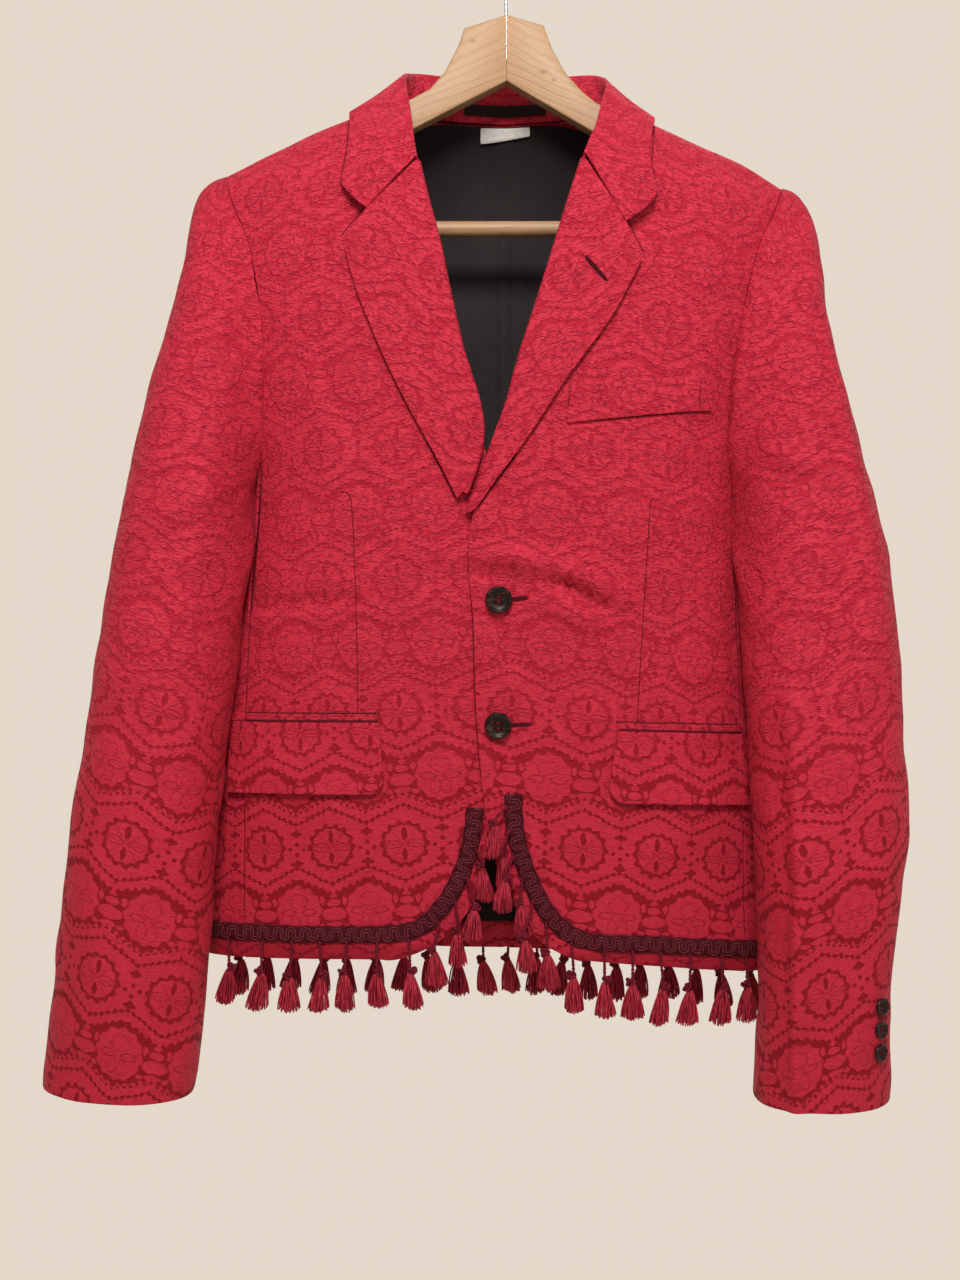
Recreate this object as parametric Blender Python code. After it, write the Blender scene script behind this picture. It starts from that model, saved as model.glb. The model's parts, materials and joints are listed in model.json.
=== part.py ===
"""A short brocade blazer with a tasselled hem, hanging buttoned on a wooden hanger.

Metres, +Z up. The origin is the inside apex of the hanger's hook. The fronts face -Y, and +X is
the viewer's right. The body is one soft flattened form, torso_y below, from which each cut piece
takes its stretch, so that neighbours share their seam lines.
"""

import math

import bmesh
import bpy
import numpy as np

# Cloth
WALL = 0.0018          # outer cloth with its interlining
SEAM = 0.0003          # gap between two pieces at a seam
LINING_WALL = 0.001
SHOULDER_FALL = 0.12   # height over which the body fills out below the shoulder line
SIDE_POWER = 3.0       # how square the body's section is at its sides

# Collar, lapels and what is sewn on
ROLL_REACH = 0.0030    # the rolled edge stands this far beyond the front's edge
ROLL_RADIUS = 0.00175
# Turn of the cloth at the roll, in radii: back down the rise, outwards
STAND_TURN = [(0.0, 1.0), (1.6, 2.0)]
LAPEL_TURN = [(0.3, 0.3), (0.0, 1.0), (0.3, 1.7), (1.6, 2.0)]
LAPEL_LIFT = 0.0014    # middle of the lapel's wall above the front, at its free edge
ROLL_LOFT = 0.0012     # and how much higher it stands at the roll
FLAP_LIFT = 0.0005     # of its inner face above the front
JET_HEIGHT = 0.0055
TRIM_WALL = 0.0008

# Lap of the fronts
LAP_DEPTH = 0.0031
LAP_RUN = 0.016
LAP_EDGE = -0.0290
LAP_FOOT = -0.715

# Buttons
BUTTON_RADIUS = 0.0098
BUTTON_THICK = 0.0036
CUFF_BUTTON_RADIUS = 0.0059
CUFF_BUTTON_THICK = 0.0028

# Braid and tassels
BRAID_WIDTH = 0.011
BRAID_WALL = 0.0016
CORD_WIDTH = 0.0024
KNOT_WIDTH = 0.0072
SKIRT_LENGTH = 0.026
SKIRT_WIDTH = 0.0165

# Hanger
WOOD_THICK = 0.012
BAR_RADIUS = 0.0058
BAR_Z = -0.2404
WIRE_RADIUS = 0.0016
HOOK_RADIUS = 0.022
STEM_FOOT = -0.112

LEFT = -1
RIGHT = 1
FRONT = -1
BACK = 1

# Depth of the body before and behind the hanger's plane: height, front, back
DEPTHS = [
    (-0.80, 0.033, 0.025),
    (-0.70, 0.039, 0.030),
    (-0.60, 0.044, 0.034),
    (-0.50, 0.050, 0.039),
    (-0.40, 0.054, 0.045),
    (-0.25, 0.052, 0.049),
    (-0.10, 0.043, 0.045),
]

# Half widths of the body to its side folds: height, left, right
WIDTHS = [
    (-0.80, 0.2285, 0.2105),
    (-0.67, 0.2215, 0.1990),
    (-0.61, 0.2130, 0.1890),
    (-0.54, 0.2020, 0.1790),
    (-0.48, 0.1935, 0.1740),
    (-0.435, 0.1905, 0.1735),
    (-0.40, 0.1965, 0.1785),
    (-0.30, 0.2200, 0.2030),
    (-0.20, 0.2450, 0.2350),
    (-0.10, 0.2600, 0.2500),
]

# Shoulder line seen from the front: distance from the middle, height on the left, on the right
SHOULDERS = [
    (0.000, -0.1070, -0.1070),
    (0.088, -0.1445, -0.1510),
    (0.115, -0.1568, -0.1645),
    (0.146, -0.1692, -0.1780),
    (0.178, -0.1845, -0.1926),
    (0.211, -0.2011, -0.2122),
    (0.260, -0.2270, -0.2400),
]

# Armhole from the shoulder point to the armpit: x, z
ARMHOLE_LEFT = [
    (-0.2114, -0.2011), (-0.2034, -0.2288), (-0.1955, -0.2460), (-0.1885, -0.2665),
    (-0.1826, -0.2980), (-0.1785, -0.3416), (-0.1795, -0.3744), (-0.1820, -0.4050),
    (-0.1905, -0.4350),
]
ARMHOLE_RIGHT = [
    (0.2079, -0.2105), (0.1990, -0.2335), (0.1905, -0.2500), (0.1812, -0.2750),
    (0.1757, -0.3005), (0.1709, -0.3296), (0.1692, -0.3715), (0.1690, -0.4088),
    (0.1735, -0.4370),
]
ARMHOLE_STEPS = 12     # from the shoulder point to the armpit, on each face
PANEL_STEPS = 9        # of those, the ones along the front or back panel

# Side seams, from the armhole down: z, x on the left, x on the right
SIDE_SEAMS = [
    (-0.800, -0.1950, 0.1770),
    (-0.620, -0.1945, 0.1740),
    (-0.540, -0.1915, 0.1715),
    (-0.480, -0.1860, 0.1690),
    (-0.420, -0.1822, 0.1682),
]

# Neck points, where the shoulder seams end at the collar
NECK_LEFT = (-0.0880, -0.1445)
NECK_RIGHT = (0.0860, -0.1500)
NECK_Z = -0.1490
GORGE_LEFT = (-0.0665, -0.2070)
GORGE_RIGHT = (0.0560, -0.2050)
NOTCH_LEFT = (-0.1014, -0.2415)
NOTCH_RIGHT = (0.0845, -0.2515)
BREAK = (-0.0290, -0.4640)
HEM_LEFT = -0.7868
HEM_RIGHT_START = -0.7868
HEM_RIGHT_END = -0.8000
BACK_HEM = -0.7900

# Inner edges of the fronts, from the neck point down: x, z
EDGE_LEFT_NECK = [NECK_LEFT, (-0.0800, -0.1760), GORGE_LEFT]
EDGE_LEFT_ROLL = [
    GORGE_LEFT, (-0.0602, -0.2342), (-0.0532, -0.2600), (-0.0440, -0.3041),
    (-0.0346, -0.3451), (-0.0190, -0.4080), (-0.0040, -0.4520),
]
EDGE_LEFT_FRONT = [
    (-0.0040, -0.4520), (0.0090, -0.4900), (0.0115, -0.5400), (0.0110, -0.6000),
    (0.0050, -0.6400), (-0.0080, -0.6640), (-0.0150, -0.6860), (-0.0158, -0.7130),
    (-0.0195, -0.7330), (-0.0285, -0.7495), (-0.0430, -0.7660), (-0.0600, -0.7790),
    (-0.0800, -0.7860),
]
EDGE_RIGHT_NECK = [NECK_RIGHT, (0.0760, -0.1790), GORGE_RIGHT]
EDGE_RIGHT_ROLL = [
    GORGE_RIGHT, (0.0427, -0.2478), (0.0249, -0.3055), (0.0093, -0.3543),
    (-0.0018, -0.3943), (-0.0113, -0.4179), (-0.0203, -0.4461), BREAK,
]
EDGE_RIGHT_FRONT = [
    BREAK, (-0.0292, -0.4831), (-0.0250, -0.5158), (-0.0240, -0.5694),
    (-0.0225, -0.5991), (-0.0190, -0.6521), (-0.0150, -0.6800), (-0.0110, -0.7049),
    (-0.0055, -0.7231), (0.0033, -0.7435), (0.0164, -0.7631), (0.0310, -0.7777),
    (0.0500, -0.7864),
]

# Free edges of the lapels, from the notch down: x, z
LAPEL_LEFT_EDGE = [
    (-0.1165, -0.2640), (-0.1120, -0.2900), (-0.1063, -0.3055), (-0.0891, -0.3476),
    (-0.0766, -0.3737), (-0.0499, -0.4237), (-0.0365, -0.4500),
]
LAPEL_RIGHT_EDGE = [
    (0.0955, -0.2770), (0.0806, -0.3091), (0.0600, -0.3400), (0.0418, -0.3647),
    (0.0123, -0.4092), (-0.0160, -0.4470), (-0.0225, -0.4562),
]
LAPEL_LEFT_ROLL = [
    GORGE_LEFT, (-0.0602, -0.2342), (-0.0532, -0.2600), (-0.0440, -0.3041),
    (-0.0346, -0.3451), (-0.0205, -0.4030), (-0.0245, -0.4250), (-0.0335, -0.4490),
]

# Collar, gorge to the middle of the back of the neck. Each row is a section: share of the neck
# edge, fold x, y and z, free edge x and z
COLLAR_LEFT = [
    (0.00, -0.0648, -0.0460, -0.2035, -0.1014, -0.2415),
    (0.14, -0.0672, -0.0430, -0.1900, -0.1194, -0.2222),
    (0.26, -0.0690, -0.0385, -0.1780, -0.1160, -0.2030),
    (0.38, -0.0722, -0.0250, -0.1560, -0.1145, -0.1790),
    (0.50, -0.0760, -0.0020, -0.1270, -0.1150, -0.1568),
    (0.63, -0.0705, 0.0240, -0.1130, -0.1010, -0.1640),
    (0.80, -0.0430, 0.0410, -0.1080, -0.0560, -0.1640),
    (1.00, 0.0000, 0.0460, -0.1065, 0.0000, -0.1630),
]
COLLAR_RIGHT = [
    (0.00, 0.0540, -0.0460, -0.2015, 0.0845, -0.2515),
    (0.14, 0.0595, -0.0420, -0.1890, 0.1066, -0.2311),
    (0.26, 0.0640, -0.0375, -0.1780, 0.1030, -0.2060),
    (0.38, 0.0690, -0.0250, -0.1590, 0.1045, -0.1850),
    (0.50, 0.0745, -0.0020, -0.1320, 0.1090, -0.1614),
    (0.63, 0.0710, 0.0230, -0.1150, 0.0970, -0.1700),
    (0.80, 0.0430, 0.0410, -0.1080, 0.0560, -0.1650),
    (1.00, 0.0000, 0.0460, -0.1065, 0.0000, -0.1630),
]
COLLAR_SHARES = [
    0.0, 0.07, 0.14, 0.20, 0.26, 0.32, 0.38, 0.42, 0.46, 0.50, 0.54, 0.58,
    0.63, 0.68, 0.73, 0.79, 0.85, 0.90, 0.95, 1.0
]
NECK_ROOM = 0.0015
NECK_CENTRE_Y = 0.004
COLLAR_LOFT = 0.0026   # more room under the collar where it crosses the shoulder

# Sleeves, armhole to cuff. Each row is a ring: outer x and z, inner x and z, foremost y,
# rearmost y, and how far its middle follows the armhole in towards the body
SLEEVE_LEFT = [
    (-0.2215, -0.2065, -0.1925, -0.4405, -0.038, 0.036, 0.021),
    (-0.2340, -0.2230, -0.1935, -0.4460, -0.046, 0.042, 0.013),
    (-0.2400, -0.2600, -0.1945, -0.4520, -0.054, 0.046, 0.006),
    (-0.2490, -0.3050, -0.1955, -0.4620, -0.060, 0.047, 0.000),
    (-0.2640, -0.3600, -0.1962, -0.4760, -0.066, 0.046, 0.000),
    (-0.2770, -0.4250, -0.1975, -0.4950, -0.070, 0.042, 0.000),
    (-0.2900, -0.4900, -0.2020, -0.5250, -0.074, 0.035, 0.000),
    (-0.3000, -0.5650, -0.2075, -0.5800, -0.079, 0.025, 0.000),
    (-0.3070, -0.6300, -0.2140, -0.6350, -0.083, 0.013, 0.000),
    (-0.3150, -0.6850, -0.2180, -0.6850, -0.086, 0.005, 0.000),
    (-0.3195, -0.7300, -0.2210, -0.7300, -0.087, -0.001, 0.000),
    (-0.3245, -0.7800, -0.2245, -0.7800, -0.087, -0.004, 0.000),
    (-0.3296, -0.8297, -0.2280, -0.8310, -0.086, -0.005, 0.000),
    (-0.3332, -0.8696, -0.2324, -0.8768, -0.085, -0.006, 0.000),
]
SLEEVE_RIGHT = [
    (0.2180, -0.2155, 0.1755, -0.4425, -0.038, 0.036, -0.021),
    (0.2290, -0.2330, 0.1762, -0.4480, -0.046, 0.042, -0.013),
    (0.2345, -0.2640, 0.1768, -0.4550, -0.054, 0.046, -0.006),
    (0.2370, -0.3050, 0.1772, -0.4650, -0.060, 0.046, 0.000),
    (0.2490, -0.3600, 0.1778, -0.4800, -0.066, 0.044, 0.000),
    (0.2640, -0.4250, 0.1784, -0.5000, -0.072, 0.037, 0.000),
    (0.2770, -0.4900, 0.1792, -0.5300, -0.079, 0.025, 0.000),
    (0.2825, -0.5600, 0.1805, -0.5800, -0.087, 0.008, 0.000),
    (0.2832, -0.6300, 0.1810, -0.6350, -0.095, -0.006, 0.000),
    (0.2833, -0.6850, 0.1815, -0.6850, -0.102, -0.017, 0.000),
    (0.2779, -0.7150, 0.1815, -0.7180, -0.105, -0.022, 0.000),
    (0.2708, -0.7700, 0.1810, -0.7750, -0.106, -0.024, 0.000),
    (0.2690, -0.8150, 0.1795, -0.8250, -0.104, -0.024, 0.000),
    (0.2695, -0.8720, 0.1760, -0.8750, -0.102, -0.022, 0.000),
]
SLEEVE_POWER = 0.88    # below 1 squares the sleeve's section a little
TOP_SLEEVE = (-75, 195)   # degrees round the sleeve from its outer line, front positive

# Large soft folds of the fronts: ends x, z and x, z, half width, height
FOLDS = [
    (-0.010, -0.503, 0.050, -0.520, 0.0065, 0.0034),
    (0.028, -0.522, 0.082, -0.560, 0.0065, 0.0032),
    (-0.185, -0.528, -0.115, -0.527, 0.0060, 0.0020),
    (-0.170, -0.470, -0.110, -0.455, 0.0100, 0.0018),
    (0.150, -0.470, 0.100, -0.440, 0.0100, 0.0018),
    (-0.040, -0.556, -0.085, -0.578, 0.0100, 0.0014),
]

# Hip pockets: name, inner end x, outer end x, top of the jet, its fall along the way, skew of the
# flap's inner end
POCKETS = {
    LEFT: ("left", -0.0935, -0.2060, -0.6058, -0.0005, 0.0034),
    RIGHT: ("right", 0.0797, 0.1815, -0.6120, -0.0034, -0.0055),
}
FLAP_DEPTH = 0.0520
FLAP_CORNER = 0.0110
JET_WALL = 0.0024
# Corners of the chest welt, from its upper inner one
WELT = [(0.0456, -0.3685), (0.1487, -0.3598), (0.1480, -0.3847), (0.0427, -0.3959)]

LINING_GAP = 0.0016
LINING_FOOT = -0.768
TRIM_GAP = 0.0006
LABEL_GAP = 0.0012
SHANK = 0.0012
CUFF_BUTTON_TOP = -0.8002
CUFF_BUTTON_STEP = 0.0159
CUFF_BUTTON_ROOM = 0.0004

# Middle lines of the braid, from its upper ends: x, z
BRAID_LEFT = [
    (-0.0236, -0.6745), (-0.0247, -0.6880), (-0.0272, -0.7031), (-0.0315, -0.7176),
    (-0.0400, -0.7362), (-0.0500, -0.7500), (-0.0620, -0.7620), (-0.0780, -0.7672),
    (-0.1200, -0.7682), (-0.1700, -0.7682), (-0.2050, -0.7684), (-0.2215, -0.7686),
    (-0.2262, -0.7687),
]
BRAID_RIGHT = [
    (0.0045, -0.6640), (0.0045, -0.6816), (0.0072, -0.6998), (0.0127, -0.7180),
    (0.0200, -0.7355), (0.0300, -0.7530), (0.0430, -0.7660), (0.0593, -0.7735),
    (0.0936, -0.7748), (0.1416, -0.7779), (0.1700, -0.7800), (0.1900, -0.7815),
    (0.2020, -0.7820), (0.2070, -0.7822),
]
BRAID_BACK = [
    (-0.2262, -0.7687), (-0.2200, -0.7688), (-0.2050, -0.7690), (-0.1500, -0.7705),
    (0.0, -0.7720), (0.1500, -0.7790), (0.1900, -0.7812), (0.2020, -0.7820), (0.2070, -0.7822),
]
BRAID_LIFT = 0.0007
FOLD_STOPS = (0.930, 0.950, 0.966, 0.980, 0.990, 0.997)   # shares of the half width

# Tassels of the curved fronts: root x, root z, sway, cord length, lift of the knot, skirt size
CENTRE_TASSELS_LEFT = [
    (-0.0222, -0.7043, 0.0045, 0.0080, 0.0045, 0.80),
    (-0.0273, -0.7246, 0.0048, 0.0165, 0.0150, 0.80),
    (-0.0367, -0.7420, 0.0022, 0.0185, 0.0045, 0.90),
    (-0.0505, -0.7565, -0.0029, 0.0170, 0.0045, 1.00),
]
CENTRE_TASSELS_RIGHT = [
    (-0.0033, -0.6716, -0.0090, 0.0080, 0.0150, 0.80),
    (0.0003, -0.6898, -0.0046, 0.0150, 0.0045, 0.78),
    (0.0033, -0.7080, -0.0066, 0.0110, 0.0150, 0.80),
    (0.0090, -0.7260, -0.0009, 0.0140, 0.0045, 0.85),
    (0.0184, -0.7427, -0.0064, 0.0200, 0.0150, 0.90),
    (0.0271, -0.7587, 0.0007, 0.0180, 0.0045, 1.00),
]
HEM_TASSELS_LEFT = [-0.0710, -0.0954, -0.1182, -0.1375, -0.1585, -0.1810, -0.2071]
HEM_TASSELS_RIGHT = [0.0460, 0.0714, 0.0924, 0.1127, 0.1352, 0.1591, 0.1780, 0.1970]

# Halves of the hanger, from the top of the joint down the outer side: x, z
WOOD_LEFT = [
    (-0.00015, -0.0799), (-0.0321, -0.0903), (-0.0362, -0.1027), (-0.0402, -0.1103),
    (-0.0466, -0.1229), (-0.0580, -0.1361), (-0.0712, -0.1432), (-0.1200, -0.1640),
    (-0.1950, -0.1980), (-0.2050, -0.2050), (-0.2085, -0.2150), (-0.2075, -0.2400),
    (-0.2010, -0.2500), (-0.1905, -0.2490), (-0.1870, -0.2280), (-0.1300, -0.1980),
    (-0.0698, -0.1664), (-0.00015, -0.1306),
]
WOOD_RIGHT = [
    (0.00015, -0.0799), (0.0283, -0.0882), (0.0346, -0.1055), (0.0450, -0.1243),
    (0.0582, -0.1389), (0.0673, -0.1461), (0.1200, -0.1725), (0.1920, -0.2070),
    (0.2010, -0.2140), (0.2040, -0.2240), (0.2040, -0.2420), (0.1990, -0.2510),
    (0.1905, -0.2500), (0.1872, -0.2340), (0.1300, -0.2040), (0.0646, -0.1687),
    (0.00015, -0.1306),
]
BAR_END = 0.1862
TENON = 0.0090
TENON_RADIUS = 0.0036

FINISHES = {
    # name: red, green, blue, roughness, metallic
    "brocade": (0.52, 0.030, 0.065, 0.75, 0.0),
    "trim": (0.085, 0.004, 0.016, 0.7, 0.0),
    "lining": (0.015, 0.010, 0.012, 0.55, 0.0),
    "label": (0.80, 0.79, 0.76, 0.6, 0.0),
    "horn": (0.020, 0.012, 0.010, 0.25, 0.0),
    "wood": (0.66, 0.42, 0.22, 0.45, 0.0),
    "steel": (0.60, 0.60, 0.62, 0.25, 1.0),
}


def finish(name):
    """The Principled material of this name, made when it is first asked for."""
    made = bpy.data.materials.get(name)
    if made is None:
        made = bpy.data.materials.new(name)
        made.use_nodes = True
        red, green, blue, roughness, metallic = FINISHES[name]
        shader = made.node_tree.nodes["Principled BSDF"]
        shader.inputs["Base Color"].default_value = (red, green, blue, 1)
        shader.inputs["Roughness"].default_value = roughness
        shader.inputs["Metallic"].default_value = metallic
    return made


def along(rows, at):
    """The later columns of a table at this value of its first one, on a smooth curve through it."""
    table = np.array(rows, float)
    keys = table[:, 0]
    values = table[:, 1:]
    slopes = np.gradient(values, keys, axis=0)
    at = min(max(at, keys[0]), keys[-1])
    low = min(max(np.searchsorted(keys, at) - 1, 0), len(keys) - 2)
    span = keys[low + 1] - keys[low]
    t = (at - keys[low]) / span
    return (
        (2 * t**3 - 3 * t**2 + 1) * values[low]
        + (t**3 - 2 * t**2 + t) * span * slopes[low]
        + (3 * t**2 - 2 * t**3) * values[low + 1]
        + (t**3 - t**2) * span * slopes[low + 1]
    )


def route(points):
    """A smooth curve through the points, as a function of the share of its length."""
    table = np.array(points, float)
    steps = np.linalg.norm(np.diff(table, axis=0), axis=1)
    shares = np.concatenate([[0.0], np.cumsum(steps)]) / steps.sum()
    rows = np.column_stack([shares, table])
    return lambda share: along(rows, share)


def joined(*parts):
    """One curve from several, each a (curve, share of the whole at which it ends) pair."""

    def curve(share):
        start = 0.0
        for piece, end in parts:
            if share <= end or end == parts[-1][1]:
                return piece(min(max((share - start) / (end - start), 0), 1))
            start = end

    return curve


def shoulder_z(x):
    left, right = along(SHOULDERS, abs(x))
    return left if x < 0 else right


def half_width(x, z):
    left, right = along(WIDTHS, z)
    return left if x < 0 else right


def soft_step(t):
    t = min(max(t, 0.0), 1.0)
    return t * t * (3 - 2 * t)


def fold_height(x, z):
    """How far the large folds lift the fronts at this place."""
    lift = 0.0
    for x0, z0, x1, z1, width, height in FOLDS:
        run = np.array([x1 - x0, z1 - z0])
        reach = np.array([x - x0, z - z0])
        t = min(max(float(reach @ run) / float(run @ run), 0.0), 1.0)
        away = np.linalg.norm(reach - t * run) / width
        lift += height * math.exp(-away * away)
    return lift


def fullness(x, z):
    """1 in the body's middle, 0 on the shoulder line and on the side folds."""
    side = 1 - (abs(x) / half_width(x, z)) ** SIDE_POWER
    drop = 1 - (shoulder_z(x) - z) / SHOULDER_FALL
    top = 1 - max(drop, 0.0) ** 2
    return max(side, 0.0) * max(top, 0.0)


def torso_y(x, z, face):
    """Depth of the body's outer surface, seen from the front, at this x and z."""
    front, back = along(DEPTHS, z)
    if face == FRONT:
        return -front * math.sqrt(fullness(x, z)) - fold_height(x, z)
    return back * math.sqrt(fullness(x, z))


def torso_normal(x, z, face):
    """Outward normal of the body, also right on the shoulder line and the side folds."""
    step = 0.0002
    deep = along(DEPTHS, z)[0 if face == FRONT else 1]

    def full(px, pz):
        side = 1 - (abs(px) / half_width(px, pz)) ** SIDE_POWER
        drop = 1 - (shoulder_z(px) - pz) / SHOULDER_FALL
        return side * (1 - max(drop, 0.0) ** 2 if drop < 1 else -2 * (drop - 1))

    slope_x = (full(x + step, z) - full(x - step, z)) / (2 * step)
    slope_z = (full(x, z + step) - full(x, z - step)) / (2 * step)
    y = face * deep * math.sqrt(max(full(x, z), 0.0))
    normal = np.array([-slope_x, 2 * y / deep**2, -slope_z])
    return normal / np.linalg.norm(normal)


def on_torso(x, z, face, lift=0.0):
    """Point on the body at this x and z, moved out by lift."""
    return np.array([x, torso_y(x, z, face), z]) + lift * torso_normal(x, z, face)


def armhole(side):
    return route(ARMHOLE_LEFT if side == LEFT else ARMHOLE_RIGHT)


def armhole_share(step):
    """Share of the armhole at each of its even steps, closer together at both of its ends."""
    return (1 - math.cos(math.pi * step / ARMHOLE_STEPS)) / 2


def parted(grid, gaps, wrap=False):
    """The grid with its border rows and columns drawn in by these gaps: top, bottom, first, last."""
    grid = grid.copy()
    top, bottom, first, last = gaps

    def draw(border, inside, gap):
        way = inside - border
        return border + way * (gap / np.linalg.norm(way, axis=-1, keepdims=True))

    grid[0] = draw(grid[0], grid[1], top) if top else grid[0]
    grid[-1] = draw(grid[-1], grid[-2], bottom) if bottom else grid[-1]
    if not wrap:
        grid[:, 0] = draw(grid[:, 0], grid[:, 1], first) if first else grid[:, 0]
        grid[:, -1] = draw(grid[:, -1], grid[:, -2], last) if last else grid[:, -1]
    return grid


def make_object(name, mesh, material):
    """A new object of the bmesh, its faces turned outward."""
    bmesh.ops.recalc_face_normals(mesh, faces=mesh.faces)
    if mesh.calc_volume(signed=True) < 0:
        bmesh.ops.reverse_faces(mesh, faces=mesh.faces)
    data = bpy.data.meshes.new(name)
    mesh.to_mesh(data)
    mesh.free()
    data.materials.append(finish(material))
    data.shade_smooth()
    data.set_sharp_from_angle(angle=math.radians(50))
    made = bpy.data.objects.new(name, data)
    bpy.context.scene.collection.objects.link(made)
    return made


def wall(name, outer, inner, material):
    """A closed wall between two grids of points of the same shape."""
    rows, columns = outer.shape[:2]
    mesh = bmesh.new()
    layers = [
        [[mesh.verts.new(grid[r, c]) for c in range(columns)] for r in range(rows)]
        for grid in (outer, inner)
    ]
    for r in range(rows - 1):
        for c in range(columns - 1):
            for layer in layers:
                corners = (layer[r][c], layer[r][c + 1], layer[r + 1][c + 1], layer[r + 1][c])
                mesh.faces.new(corners if layer is layers[0] else corners[:1] + corners[:0:-1])
    rim = [(0, c) for c in range(columns)]
    rim += [(r, columns - 1) for r in range(1, rows)]
    rim += [(rows - 1, c) for c in range(columns - 2, -1, -1)]
    rim += [(r, 0) for r in range(rows - 2, 0, -1)]
    for here, there in zip(rim, rim[1:] + rim[:1]):
        (r0, c0), (r1, c1) = here, there
        mesh.faces.new((layers[0][r1][c1], layers[0][r0][c0], layers[1][r0][c0], layers[1][r1][c1]))
    return make_object(name, mesh, material)


def patch(top, bottom, inner, outer, across, down):
    """Grid of x, z inside four border curves that meet at the corners (a Coons patch)."""
    grid = np.empty((len(down), len(across), 2))
    for j, v in enumerate(down):
        for i, u in enumerate(across):
            ruled = (1 - v) * top(u) + v * bottom(u) + (1 - u) * inner(v) + u * outer(v)
            corners = (1 - v) * ((1 - u) * top(0) + u * top(1))
            corners += v * ((1 - u) * bottom(0) + u * bottom(1))
            grid[j, i] = ruled - corners
    return grid


def straight(start, end):
    start = np.array(start, float)
    end = np.array(end, float)
    return lambda share: start + share * (end - start)


def lap(x, z):
    """How far the left front is tucked in behind the edge of the right one."""
    tuck = soft_step((x - LAP_EDGE + LAP_RUN) / LAP_RUN)
    tuck *= soft_step((z - LAP_FOOT) / LAP_RUN / 2)
    return tuck * (LAP_DEPTH + max(fold_height(x, z), 0.0))


def body_panel(name, grid, face, gaps, tuck=None):
    """A cut piece of the body over this grid of x, z, as a wall."""
    rows, columns = grid.shape[:2]
    outer = np.empty((rows, columns, 3))
    inner = np.empty((rows, columns, 3))
    for r in range(rows):
        for c in range(columns):
            x, z = grid[r, c]
            shift = tuck(x, z) if tuck else 0.0
            outer[r, c] = on_torso(x, z, face, -shift)
            inner[r, c] = on_torso(x, z, face, -shift - WALL)
    return wall(name, parted(outer, gaps), parted(inner, gaps), "brocade")


def side_seam(side):
    """The seam of front or back with the side panel, from the armhole to the hem."""
    top = armhole(side)(armhole_share(PANEL_STEPS))
    hem = hem_z(side, side_seam_x(side, -0.79))

    def seam(share):
        z = top[1] + share * (hem - top[1])
        x = side_seam_x(side, z)
        near = soft_step(share / 0.12)
        return np.array([top[0] * (1 - near) + x * near, z])

    return seam


def side_seam_x(side, z):
    return along(SIDE_SEAMS, z)[0 if side == LEFT else 1]


def hem_z(side, x):
    """Height of the front's straight hem."""
    if side == LEFT:
        return HEM_LEFT
    share = (x - EDGE_RIGHT_FRONT[-1][0]) / (0.2105 - EDGE_RIGHT_FRONT[-1][0])
    return HEM_RIGHT_START + max(share, 0.0) * (HEM_RIGHT_END - HEM_RIGHT_START)


ARM_PART = 0.44        # share of a front's height beside its armhole
SEAM_SHARES = [0.0, 0.12, 0.24, 0.36, 0.48, 0.59, 0.69, 0.78, 0.86, 0.93, 1.0]
SHOULDER_SHARES = [0.0, 0.12, 0.26, 0.42, 0.60, 0.78, 0.92, 1.0]
LEFT_SHARES = [0.0, 0.10, 0.19, 0.28, 0.42, 0.60, 0.78, 0.92, 1.0]
RIGHT_SHARES = [0.0, 0.06, 0.12, 0.26, 0.42, 0.60, 0.78, 0.92, 1.0]
PANEL_ROWS = [
    ARM_PART * armhole_share(k) / armhole_share(PANEL_STEPS) for k in range(PANEL_STEPS)
] + [ARM_PART + (1 - ARM_PART) * share for share in SEAM_SHARES]


def outer_edge(side):
    """From the shoulder point round the armhole, then down the side seam."""
    hole = armhole(side)
    end = armhole_share(PANEL_STEPS)
    return joined((lambda t: hole(t * end), ARM_PART), (side_seam(side), 1.0))


def shoulder_seam(side):
    """From the neck point to the shoulder point."""
    neck = NECK_LEFT if side == LEFT else NECK_RIGHT
    point = armhole(side)(0)

    def seam(share):
        x = neck[0] + share * (point[0] - neck[0])
        return np.array([x, shoulder_z(x)])

    return seam


def front(side):
    name = "front_left" if side == LEFT else "front_right"
    if side == LEFT:
        neck, roll, edge = EDGE_LEFT_NECK, EDGE_LEFT_ROLL, EDGE_LEFT_FRONT
    else:
        neck, roll, edge = EDGE_RIGHT_NECK, EDGE_RIGHT_ROLL, EDGE_RIGHT_FRONT
    inner = joined((route(neck), 0.10), (route(roll), 0.46), (route(edge), 1.0))
    outer = outer_edge(side)
    hem_start = np.array(edge[-1], float)

    def hem(share):
        x = hem_start[0] + share * (side_seam_x(side, hem_start[1]) - hem_start[0])
        return np.array([x, hem_start[1] + share * (outer(1)[1] - hem_start[1])])

    top = shoulder_seam(side)
    across = LEFT_SHARES if side == LEFT else RIGHT_SHARES
    grid = patch(top, hem, inner, outer, across, PANEL_ROWS)
    tuck = lap if side == LEFT else None
    body_panel(name, grid, FRONT, (SEAM / 2, 0, 0, SEAM / 2), tuck)


def back_neck(neck):
    """The neck edge of the back, from its middle to the neck point."""
    return route([
        (0.0, NECK_Z), (neck[0] * 0.55, NECK_Z), (neck[0] * 0.88, NECK_Z),
        (neck[0], shoulder_z(neck[0])),
    ])


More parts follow.
